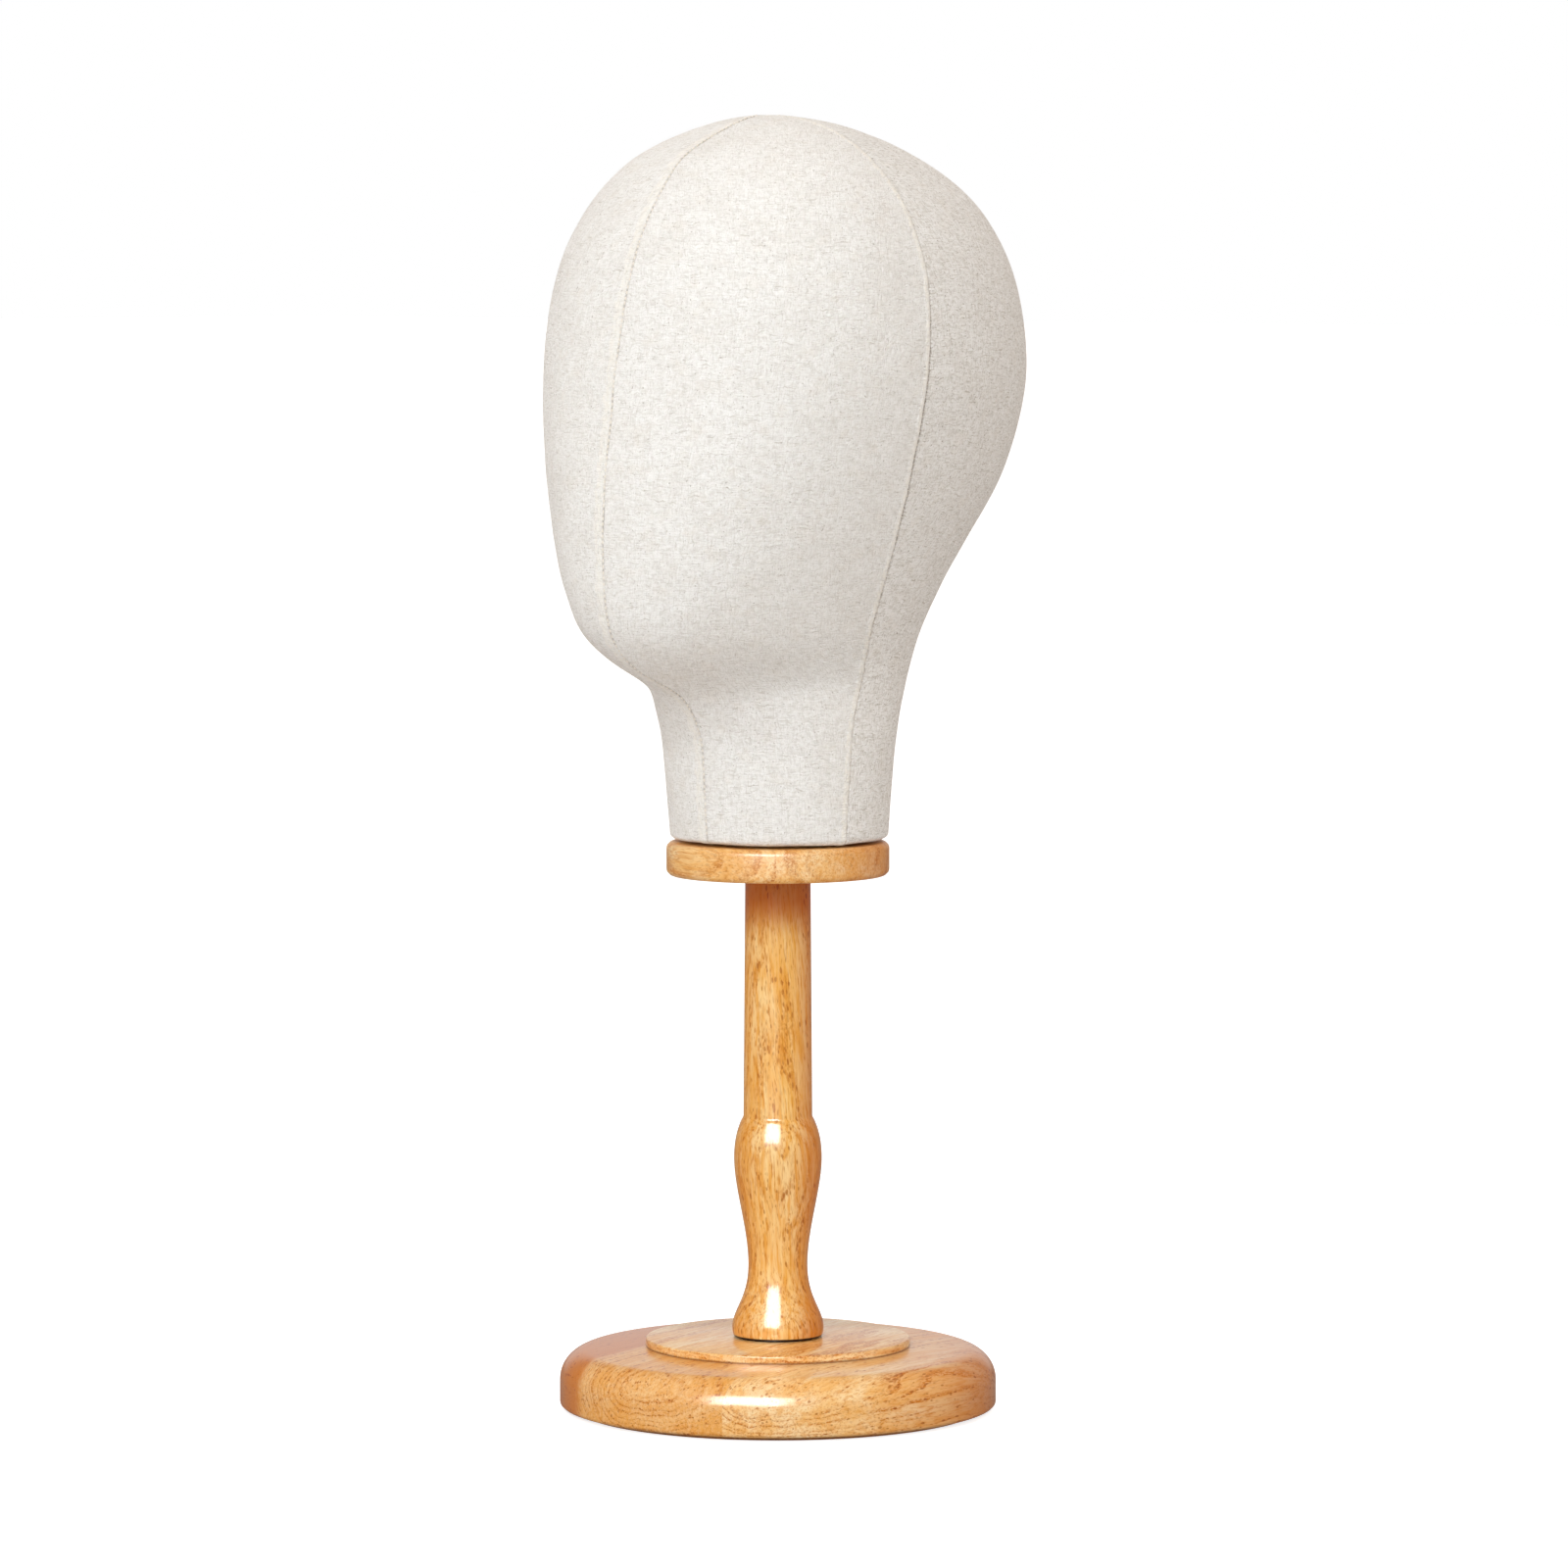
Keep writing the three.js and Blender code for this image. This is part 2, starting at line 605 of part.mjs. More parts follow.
// One linen panel: a quarter of the cover, with half a seam gap left off each long edge
function linenPanel(quarter) {
  const rows = coverRows();
  const across = PANEL_COLUMNS + 1;
  const points = [];
  for (const inset of [0, LINEN_THICKNESS]) {
    for (const row of rows) {
      const line = [];
      for (let column = 0; column < across; column += 1) {
        line.push(coverPoint(columnAngle(quarter, column / PANEL_COLUMNS, row), row, inset));
      }
      const inward = [
        line[1].clone().sub(line[0]).setLength(SEAM_GAP / 2),
        line[across - 2].clone().sub(line[across - 1]).setLength(SEAM_GAP / 2),
      ];
      line[0].add(inward[0]);
      line[across - 1].add(inward[1]);
      points.push(...line);
    }
  }
  const layer = rows.length * across;
  const at = (side, row, column) => side * layer + row * across + column;
  const triangles = [];
  const lastRow = rows.length - 1;
  for (let row = 0; row < lastRow; row += 1) {
    for (let column = 0; column < PANEL_COLUMNS; column += 1) {
      const right = column + 1;
      const above = row + 1;
      quad(triangles, at(0, row, column), at(0, row, right), at(0, above, right), at(0, above, column));
      quad(triangles, at(1, row, column), at(1, above, column), at(1, above, right), at(1, row, right));
    }
    quad(triangles, at(0, row, 0), at(0, row + 1, 0), at(1, row + 1, 0), at(1, row, 0));
    quad(
      triangles,
      at(0, row, PANEL_COLUMNS),
      at(1, row, PANEL_COLUMNS),
      at(1, row + 1, PANEL_COLUMNS),
      at(0, row + 1, PANEL_COLUMNS),
    );
  }
  for (let column = 0; column < PANEL_COLUMNS; column += 1) {
    quad(triangles, at(0, 0, column), at(1, 0, column), at(1, 0, column + 1), at(0, 0, column + 1));
    quad(
      triangles,
      at(0, lastRow, column),
      at(0, lastRow, column + 1),
      at(1, lastRow, column + 1),
      at(1, lastRow, column),
    );
  }
  return gridGeometry(points, triangles);
}

// Solid core that fills the cover, with a pocket for the plug
function headCore() {
  const rows = coverRows().slice(1);
  const around = PANEL_COLUMNS * 4;
  const points = [];
  for (const row of rows) {
    for (let column = 0; column < around; column += 1) {
      const quarter = Math.floor(column / PANEL_COLUMNS);
      const share = (column % PANEL_COLUMNS) / PANEL_COLUMNS;
      points.push(coverPoint(columnAngle(quarter, share, row), row, CORE_INSET));
    }
  }
  const foot = points.push(new THREE.Vector3(0, 0, CORE_INSET)) - 1;
  const crown = points.push(new THREE.Vector3(0, -CROWN_FORWARD, HEAD_HEIGHT - CORE_INSET)) - 1;
  const triangles = [];
  const top = (rows.length - 1) * around;
  for (let column = 0; column < around; column += 1) {
    const next = (column + 1) % around;
    for (let row = 0; row < rows.length - 1; row += 1) {
      const low = row * around;
      const high = low + around;
      quad(triangles, low + column, low + next, high + next, high + column);
    }
    triangles.push(foot, next, column);
    triangles.push(crown, top + column, top + next);
  }
  const pocketTop = DISC_THICKNESS + PLUG_LENGTH + FIT_GAP - NECK_FOOT;
  const pocket = rod(PLUG_RADIUS + FIT_GAP, -CUT_PAST, pocketTop, POLE_SIDES);
  return cut(gridGeometry(points, triangles), pocket);
}

const stand = new THREE.Group();
const boltSeat = BASE_BOTTOM + COUNTERBORE_DEPTH - WASHER_THICKNESS;
stand.add(
  piece('base_felt', feltDisc(), FELT),
  piece('base_plate', basePlate(), WOOD, BASE_BOTTOM),
  piece('base_washer', washer(), STEEL, boltSeat),
  piece('base_bolt', baseBolt(), STEEL, boltSeat),
  piece('base_riser', baseRiser(), WOOD, BASE_TOP),
  piece('pole', pole(), WOOD, RISER_TOP),
  piece('pole_insert', threadedInsert(), BRASS, RISER_TOP),
  piece('hanger_bolt', hangerBolt(), STEEL, POLE_TOP),
);

// Everything that turns on the hanger bolt, placed on the underside of the neck disc
const head = new THREE.Group();
head.position.z = DISC_BOTTOM;
head.add(
  piece('neck_disc', neckDisc(), WOOD),
  piece('neck_plug', neckPlug(), INNER_WOOD),
  piece('neck_insert', threadedInsert(), BRASS, DISC_THICKNESS),
  piece('head_core', headCore(), FOAM, NECK_FOOT),
  piece('linen_front_left', linenPanel(0), LINEN, NECK_FOOT),
  piece('linen_back_left', linenPanel(1), LINEN, NECK_FOOT),
  piece('linen_back_right', linenPanel(2), LINEN, NECK_FOOT),
  piece('linen_front_right', linenPanel(3), LINEN, NECK_FOOT),
);
screwPlaces().forEach((place, index) => {
  const screw = piece(`disc_screw_${index + 1}`, discScrew(), STEEL, SCREW_SINK);
  screw.position.x = place.x;
  screw.position.y = place.y;
  head.add(screw);
});

const model = new THREE.Group();
model.add(stand, head);

export default model;
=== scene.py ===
import math

import bmesh
import bpy
import numpy as np
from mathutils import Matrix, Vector, noise
from mathutils.bvhtree import BVHTree


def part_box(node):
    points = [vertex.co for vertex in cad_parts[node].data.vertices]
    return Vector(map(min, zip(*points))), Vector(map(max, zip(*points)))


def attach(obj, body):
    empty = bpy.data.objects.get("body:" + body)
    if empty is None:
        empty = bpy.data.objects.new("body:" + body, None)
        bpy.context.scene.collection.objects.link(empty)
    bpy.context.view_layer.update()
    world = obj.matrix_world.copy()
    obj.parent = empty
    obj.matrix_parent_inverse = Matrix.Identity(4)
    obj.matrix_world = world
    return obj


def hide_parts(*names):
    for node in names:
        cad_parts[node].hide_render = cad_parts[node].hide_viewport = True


# Mannequin head stand: linen-covered head on a lacquered wooden stand. Metres, +Z up, face towards -Y.
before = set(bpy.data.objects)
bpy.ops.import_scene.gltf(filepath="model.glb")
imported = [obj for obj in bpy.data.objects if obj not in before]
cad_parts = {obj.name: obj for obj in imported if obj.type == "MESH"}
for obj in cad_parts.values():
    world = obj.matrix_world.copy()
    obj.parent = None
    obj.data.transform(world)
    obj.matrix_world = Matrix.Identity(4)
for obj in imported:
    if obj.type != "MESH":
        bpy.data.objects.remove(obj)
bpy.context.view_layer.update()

MM = 0.001

# Camera, as the photograph was taken
CAMERA_AZIMUTH = math.radians(41)
CAMERA_DISTANCE = 2.7204
CAMERA_HEIGHT = 0.4389
CAMERA_PITCH = math.radians(4.25)
CAMERA_LENS_MM = 166.4
CAMERA_SENSOR_MM = 36.0
CAMERA_SHIFT = 0.0039
CAMERA_REACH = 200.0

# Light. What is named for the gloss is seen in reflections only. A softbox is given as (azimuth,
# elevation, distance, size, power), and the glint is one that makes highlights and no other light.
WHITE = (1.0, 1.0, 1.0, 1.0)
WORLD_ON_OBJECT = 0.86
WORLD_WARMTH = (1.0, 0.911, 0.84, 1.0)
BACKDROP_WAY = (-0.656, 0.755, 0.0)
BACKDROP_EDGE = (0.86, 0.98)
BACKDROP_IN_GLOSS = 0.75
ROOM_IN_GLOSS = 0.2
FLOOR_TONE = (0.62, 0.62, 0.62, 1.0)
FLOOR_TONE_IN_GLOSS = (0.15, 0.15, 0.15, 1.0)
FLOOR_TO_CAMERA = 0.8
FLOOR_IN_GLOSS = 0.1
FLOOR_REACH = 30.0
LAMPS_AIM = Vector((0.0, 0.0, 0.22))
SOFTBOXES = {
    "key": (25, 28, 2.2, (1.0, 1.1), 13.6),
    "key_wide": (22, 28, 2.4, (1.9, 1.7), 9.8),
    "glint": (25, 25, 2.0, (1.45, 1.1), 108.0),
}
COOL = (0.84, 0.935, 1.0)

# Turned wood
TURNED_SIDES = 160
OUTLINE_STEP = 0.7 * MM
CORNER_ANGLE = math.radians(28)
LONG_STRAIGHT = 2.5
ON_AXIS = 1e-6
HOLE_CLEARANCE = 0.3 * MM
HOLE_NARROWS = (0.6 * MM, 2.7 * MM)
HOLE_NARROW_SHARE = 0.53

# The wood's figure. A pattern is (how fast it changes along the grain against across it, how fast
# across it to a mm). A step is a board's shift in the noise.
PATTERNS = {
    "broad sway": (0.35, 0.045),
    "close sway": (0.3, 0.26),
    "patches": (0.3, 0.075),
    "coarse streaks": (0.07, 0.75),
    "fine streaks": (0.085, 1.7),
    "broad tone": (0.16, 0.1),
    "crowding": (0.5, 0.1),
    "wide pores": (0.4, 0.8),
    "fine pores": (0.25, 1.2),
    "speckle": (0.4, 1.5),
}
BROAD_SWAY = 9.0
CLOSE_SWAY = 1.5
BOARD_STEP = 7.3
RING_BOARD_STEP = 5.1
RING_UNEVENNESS = 1.8
PORE_EDGE = 0.12

# Tones of the wood, from the palest to the late wood of the rings, its stains, and colours of painted
# shade
HONEY = ((252, 221, 168), (246, 196, 124), (229, 155, 60), (200, 115, 16))
AMBER = ((253, 224, 164), (247, 199, 118), (232, 160, 53), (202, 120, 11))
# Painted shade on the base's rim at the picture's right
REDDISH_SHADE = (196, 100, 6)
ROSY = (208, 124, 40)
# Painted shadow and dark reflection of the disc on the pole's top
DISC_SHADOW_BROWN = (188, 92, 0)
# Painted shade at the foot of the riser's edge
RISER_FOOT_SHADE = (116, 60, 16)
# A board's own orange tone, and also painted shade on the sides seen at the picture's edges
ORANGE_TONE_AND_SHADE = (206, 110, 0)
# Painted shade in the gap under the pole's foot
CREVICE_SHADE = (40, 16, 4)
PORE_STAIN = (0.54, 0.28, 0.05, 1.0)

# Ways along which the wood's zones are measured. Along the picture's left and right, zones are
# painted shade on the sides seen at the picture's edges.
PICTURE_RIGHT = (0.755, 0.656, 0.0)
PICTURE_LEFT = (-0.755, -0.656, 0.0)
ACROSS_BOARDS = (-0.9986, -0.052, 0.0)
UP = (0.0, 0.0, 1.0)
DOWN = (0.0, 0.0, -1.0)

# Linen cover
PANELS = ("linen_front_left", "linen_back_left", "linen_back_right", "linen_front_right")
# How strongly each panel's uneven threads show; raised on the two back panels, away from the lamps, as
# painted shade of the weave's relief
THREAD_STRENGTH_AND_SHADE = (1.1, 1.85, 1.85, 1.1)
CAD_COLUMNS = 9
ROW_STEP = 1.3 * MM
RING_SAMPLES = 91
SEAM_COLUMNS = 15
SEAM_ZONE = 7.5 * MM
SEAM_GRADING = 1.9
MIDDLE_COLUMNS = 30
THREAD_PITCH = 0.95
CLOTH_THICKNESS = 0.55 * MM
CLOTH_FROM_CORE = 0.7 * MM
SEAM_SPLIT = 0.05 * MM
FOOT_STEPS = 7
TUCK_STEPS = 4
TUCK_LENGTH = 7.0 * MM
FOOT_GAP = 0.7 * MM
FOOT_GAP_WANDER = 0.3 * MM
FOOT_CALM = 0.3
CROWN_RADIUS = 0.5 * MM
CROWN_FADE = 24 * MM
BROAD_CUSHION = 0.34 * MM
FINE_CUSHION = 0.12 * MM

# Filling under the cover
FILLING_INSET = 1.3 * MM
FILLING_FOOT_INSET = 1.7 * MM
FILLING_COLUMNS = 72
FILLING_ROW_SKIP = 6

# Seams. The face and back ones are felled: a low, broad band beside a fine line of small stitches.
# The side ones are butted: a narrower, puckered ridge beside a thin groove, with a ladder of thread.
# dark is the strength of the painted shade along the seam's groove, and pale that of the band's colour.
# A seam opens most at open_at and less beyond open_reach, both in metres from its foot. seed picks
# where it is uneven.
FELLED = {
    "groove": 0.16 * MM, "groove_width": 0.32 * MM, "band": 0.22 * MM, "band_width": 4.4 * MM,
    "dark": 0.44, "pale": 0.6, "open_at": 0.2, "open_reach": 0.5, "seed": 1.6,
}
BUTTED = {
    "groove": 0.9 * MM, "groove_width": 0.4 * MM, "band": 0.34 * MM, "band_width": 2.8 * MM,
    "dark": 1.0, "pale": 0.9, "open_at": 0.168, "open_reach": 0.06, "seed": 9.0,
}
SEAM_KINDS = (FELLED, BUTTED, FELLED, BUTTED)
SEAM_NAMES = ("face", "left", "back", "right")
LEAST_OPEN = 0.3
GROOVE_SHADE_SPREAD = 1.25
BAND_EDGE = 0.55 * MM
BAND_FRAY = 0.3
BAND_PUCKER = 0.5
LOW_LIP = {"height": 0.1 * MM, "away": 1.0 * MM, "width": 0.7 * MM}
SEAM_WANDER = 0.3 * MM
PUCKER_PITCH = 2.5 * MM
RUNNING_PITCH = 2.2 * MM
RUNNING_LENGTH = 1.35 * MM
RUNNING_LIFT = 0.08 * MM
LADDER_LENGTH = 1.0 * MM
LADDER_SINK = 0.1 * MM
LADDER_LEAN = (0.95, 0.3)
STITCH_RADIUS = 0.3 * MM
STITCH_SECTIONS = 7
STITCH_SIDES = 6
STITCH_END_SINK = 0.22 * MM
STITCH_JITTER = 0.25
STITCHES_STOP = 6 * MM
THREAD_RADIUS = 0.17 * MM


# Small tools for meshes and node trees

def new_object(name, data):
    made = bpy.data.objects.new(name, data)
    bpy.context.scene.collection.objects.link(made)
    return made


def make_piece(name, vertices, faces, material, body, replaced=()):
    mesh = bpy.data.meshes.new(name)
    mesh.from_pydata([tuple(v) for v in vertices], [], faces)
    mesh.shade_smooth()
    mesh.materials.append(material)
    piece = new_object(name, mesh)
    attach(piece, body)
    if replaced:
        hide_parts(*replaced)
    face_outwards(mesh)
    return piece


def add(tree, kind, inputs=None, **settings):
    """A new shader node. Its inputs are given as numbers, colours or other nodes' sockets."""
    made = tree.nodes.new("ShaderNode" + kind)
    for key, value in settings.items():
        setattr(made, key, value)
    for key, value in (inputs or {}).items():
        if isinstance(value, bpy.types.NodeSocket):
            tree.links.new(value, made.inputs[key])
        else:
            made.inputs[key].default_value = value
    return made


def calc(tree, operation, *values):
    """A Math node's result."""
    return add(tree, "Math", dict(enumerate(values)), operation=operation).outputs[0]


def times(tree, first, second):
    return calc(tree, "MULTIPLY", first, second)


def remap(tree, value, low, high, to_low=0.0, to_high=1.0, smooth=True):
    """value, moved from low..high to to_low..to_high and held at the ends."""
    inputs = {"Value": value, "From Min": low, "From Max": high, "To Min": to_low, "To Max": to_high}
    kind = "SMOOTHSTEP" if smooth else "LINEAR"
    return add(tree, "MapRange", inputs, interpolation_type=kind).outputs["Result"]


def mix(tree, factor, first, second, blend="MIX"):
    made = add(tree, "Mix", data_type="RGBA", blend_type=blend, clamp_factor=True)
    for index, value in ((0, factor), (6, first), (7, second)):
        if isinstance(value, bpy.types.NodeSocket):
            tree.links.new(value, made.inputs[index])
        else:
            made.inputs[index].default_value = value
    return made.outputs[2]


def noise_at(tree, vector, scale, detail=2.0, roughness=0.5):
    inputs = {"Vector": vector, "Scale": scale, "Detail": detail, "Roughness": roughness}
    return add(tree, "TexNoise", inputs).outputs["Fac"]


def channels_of(tree, node):
    return add(tree, "SeparateColor", {"Color": node.outputs["Color"]}).outputs


def srgb(*channels):
    """A colour written as it looks, from 0 to 255, as linear light."""
    shares = [channel / 255 for channel in channels]
    return (*(s / 12.92 if s <= 0.04045 else ((s + 0.055) / 1.055) ** 2.4 for s in shares), 1.0)


def new_material(name):
    material = bpy.data.materials.new(name)
    material.use_nodes = True
    tree = material.node_tree
    return material, tree, tree.nodes["Principled BSDF"]


def set_shader(shader, values):
    for key, value in values.items():
        shader.inputs[key].default_value = value


def bump(tree, height, strength, distance, socket):
    made = add(tree, "Bump", {"Height": height, "Strength": strength, "Distance": distance})
    tree.links.new(made.outputs["Normal"], socket)


def tint(tree, colour, layers):
    """The colour with each layer's own mixed in by its share. Layers are pairs of (share, colour)."""
    colour = srgb(*colour)
    for share, tone in layers:
        colour = mix(tree, share, colour, srgb(*tone))
    return colour


# Materials

def lacquered_wood(name, turn, boards, heart, rings, figure, tones, seed, gloss_blur, stain_and_shade_zones=()):
    """Honey-coloured wood under clear gloss. turn brings the grain to the local X axis. boards is the
    (width, phase) of the glued boards, heart the rings' centre in each as (share of the width, height,
    change of share from board to board), rings their (width, flatness to the left and to the right), and
    figure the strength of (streaks, rings, pores) with the grain's drift across. seed picks the boards'
    own tones, and gloss_blur is the lacquer's roughness. A zone is (way, start, end, strength, waver,
    tone): its tone comes in from start to end, in mm along its way, up to its strength, and waver makes
    its edge uneven. Some zones are the boards' own tones, and the others are painted shade: on the
    sides seen at the picture's edges, on the pole's top under the disc, and in the crevices at the feet."""
    board_width, board_phase = boards
    heart_share, heart_height, heart_change = heart
    ring_width, left_flatness, right_flatness = rings
    streaks, ring_depth, pore_depth, drift = figure
    pale, middle, deep_tone, brown = tones

    material, tree, shader = new_material(name)
    coordinates = add(tree, "TexCoord").outputs["Object"]
    in_mm = {"Vector": coordinates, "Rotation": turn, "Scale": (1000.0, 1000.0, 1000.0)}
    local = add(tree, "Mapping", in_mm).outputs["Vector"]
    along, across, deep = add(tree, "SeparateXYZ", {"Vector": local}).outputs
    across = calc(tree, "MULTIPLY_ADD", along, drift, across)

    place = calc(tree, "ADD", calc(tree, "DIVIDE", across, board_width), board_phase)
    board = calc(tree, "FLOOR", place)
    chance = add(tree, "TexWhiteNoise", {"W": calc(tree, "ADD", board, seed)}, noise_dimensions="1D")
    chance = channels_of(tree, chance)[2]
    heart_place = calc(tree, "MULTIPLY_ADD", board, heart_change, heart_share)
    from_heart = calc(tree, "SUBTRACT", calc(tree, "FRACT", place), heart_place)
    from_heart = times(tree, from_heart, board_width)

    def grain_place(pattern, sway=(0.0, 0.0)):
        """A place in the grain, drawn out along it, with a fresh start in each board."""
        shortness, fineness = PATTERNS[pattern]
        depth = times(tree, calc(tree, "ADD", deep, sway[1]), fineness)
        parts = {
            "X": times(tree, along, shortness * fineness),
            "Y": times(tree, calc(tree, "ADD", across, sway[0]), fineness),
            "Z": calc(tree, "MULTIPLY_ADD", board, BOARD_STEP, depth),
        }
        return add(tree, "CombineXYZ", parts).outputs[0]

    def grain(pattern, sway=(0.0, 0.0), detail=2.0, roughness=0.5):
        return noise_at(tree, grain_place(pattern, sway), 1.0, detail, roughness)

    def swayed(pattern, reach):
        """Shifts of a place across the grain and in depth, of up to half the reach, in mm."""
        drawn = add(tree, "TexNoise", {"Vector": grain_place(pattern), "Scale": 1.0, "Detail": 2.0})
        parts = channels_of(tree, drawn)[:2]
        return [times(tree, calc(tree, "SUBTRACT", part, 0.5), reach) for part in parts]

    # Growth rings: each darkens towards its end and then stops short
    broad_sway = swayed("broad sway", BROAD_SWAY)
    close_sway = swayed("close sway", CLOSE_SWAY)
    sway = [calc(tree, "ADD", a, b) for a, b in zip(broad_sway, close_sway)]
    side = calc(tree, "ADD", from_heart, sway[0])
    sides = [times(tree, side, flatness) for flatness in (left_flatness, right_flatness)]
    side = calc(tree, "MINIMUM", *sides)
    rise = calc(tree, "SUBTRACT", calc(tree, "ADD", deep, sway[1]), heart_height)
    squares = [times(tree, part, part) for part in (side, rise)]
    radius = calc(tree, "SQRT", calc(tree, "ADD", *squares))
    count = calc(tree, "DIVIDE", radius, ring_width)
    ring_place = {"W": calc(tree, "MULTIPLY_ADD", board, RING_BOARD_STEP, count), "Scale": 0.6}
    uneven = add(tree, "TexNoise", ring_place, noise_dimensions="1D").outputs["Fac"]
    phase = calc(tree, "FRACT", calc(tree, "MULTIPLY_ADD", uneven, RING_UNEVENNESS, count))
    late = times(tree, remap(tree, phase, 0.45, 0.88), remap(tree, phase, 1.0, 0.91))
    slow_count = {"X": times(tree, count, 0.4), "Y": board}
    ring_tone = noise_at(tree, add(tree, "CombineXYZ", slow_count).outputs[0], 1.0)

    coarse = grain("coarse streaks", close_sway, roughness=0.55)
    fine = grain("fine streaks", close_sway, roughness=0.6)
    broad = grain("broad tone", close_sway)

    # Pores: short brown dashes along the grain that show as dots on the end grain, thick in late wood
    crowded = remap(tree, grain("crowding", detail=1.0), 0.35, 0.65)

    def pores(pattern, low, high, share):
        cells = {"Vector": grain_place(pattern, close_sway), "Scale": 1.0, "Randomness": 1.0}
        cell = add(tree, "TexVoronoi", cells)
        kept = channels_of(tree, cell)[1]
        kept = calc(tree, "MULTIPLY_ADD", late, 0.4, calc(tree, "MULTIPLY_ADD", crowded, 0.35, kept))
        reach = remap(tree, kept, share, 1.4, low, high, smooth=False)
        shown = calc(tree, "GREATER_THAN", kept, share)
        inside = calc(tree, "SUBTRACT", reach, cell.outputs["Distance"])
        return times(tree, remap(tree, inside, -PORE_EDGE, PORE_EDGE), shown)

    wide_pores = pores("wide pores", 0.16, 0.42, 0.98)
    fine_pores = pores("fine pores", 0.2, 0.42, 0.9)
    pore = calc(tree, "MAXIMUM", wide_pores, times(tree, fine_pores, 0.4))

    # Colour: streaks, then rings that show in patches and fade towards the heart, zones of board tone
    # and of painted shade, and pores
    patch = remap(tree, grain("patches", detail=1.0), 0.35, 0.62)
    speckle = remap(tree, grain("speckle", detail=1.0), 0.42, 0.6, 0.2, 1.0)
    shown_late = times(tree, late, remap(tree, patch, 0.0, 1.0, 0.35 * ring_depth, ring_depth))
    off_heart = times(tree, speckle, remap(tree, count, 0.6, 3.5))
    colour = tint(tree, pale, (
        (remap(tree, broad, 0.34, 0.62), middle),
        (times(tree, remap(tree, chance, 0.55, 1.0), 0.5), deep_tone),
        (remap(tree, ring_tone, 0.42, 0.72, 0.0, 0.4), deep_tone),
        (remap(tree, coarse, 0.46, 0.66, 0.0, streaks), deep_tone),
        (remap(tree, fine, 0.5, 0.68, 0.0, streaks), brown),
        (remap(tree, coarse, 0.46, 0.3, 0.0, 0.6 * streaks), pale),
        (times(tree, shown_late, off_heart), brown),
    ))
    # Zones: the boards' own tones, and painted shade at the picture's edges, under the disc and in
    # crevices
    for way, start, end, strength, waver, tone in stain_and_shade_zones:
        reach = add(tree, "VectorMath", {0: coordinates, 1: way}, operation="DOT_PRODUCT").outputs["Value"]
        reach = calc(tree, "MULTIPLY_ADD", broad_sway[0], waver, times(tree, reach, 1000.0))
        colour = mix(tree, remap(tree, reach, start, end, 0.0, strength), colour, srgb(*tone))
    colour = mix(tree, times(tree, pore, pore_depth), colour, PORE_STAIN, blend="MULTIPLY")
    tree.links.new(colour, shader.inputs["Base Color"])

    # The wood's pores under the lacquer, and the lacquer's own slight waves
    relief = calc(tree, "SUBTRACT", times(tree, fine, 0.15), pore)
    bump(tree, relief, 0.15, 0.05 * MM, shader.inputs["Normal"])
    waves = noise_at(tree, local, 0.13)
    bump(tree, waves, 0.5, 0.09 * MM, shader.inputs["Coat Normal"])
    coat = {"Coat Weight": 0.85, "Coat Roughness": gloss_blur, "Coat IOR": 1.5}
    set_shader(shader, {"Roughness": 0.45, "Specular IOR Level": 0.05, **coat})
    return material


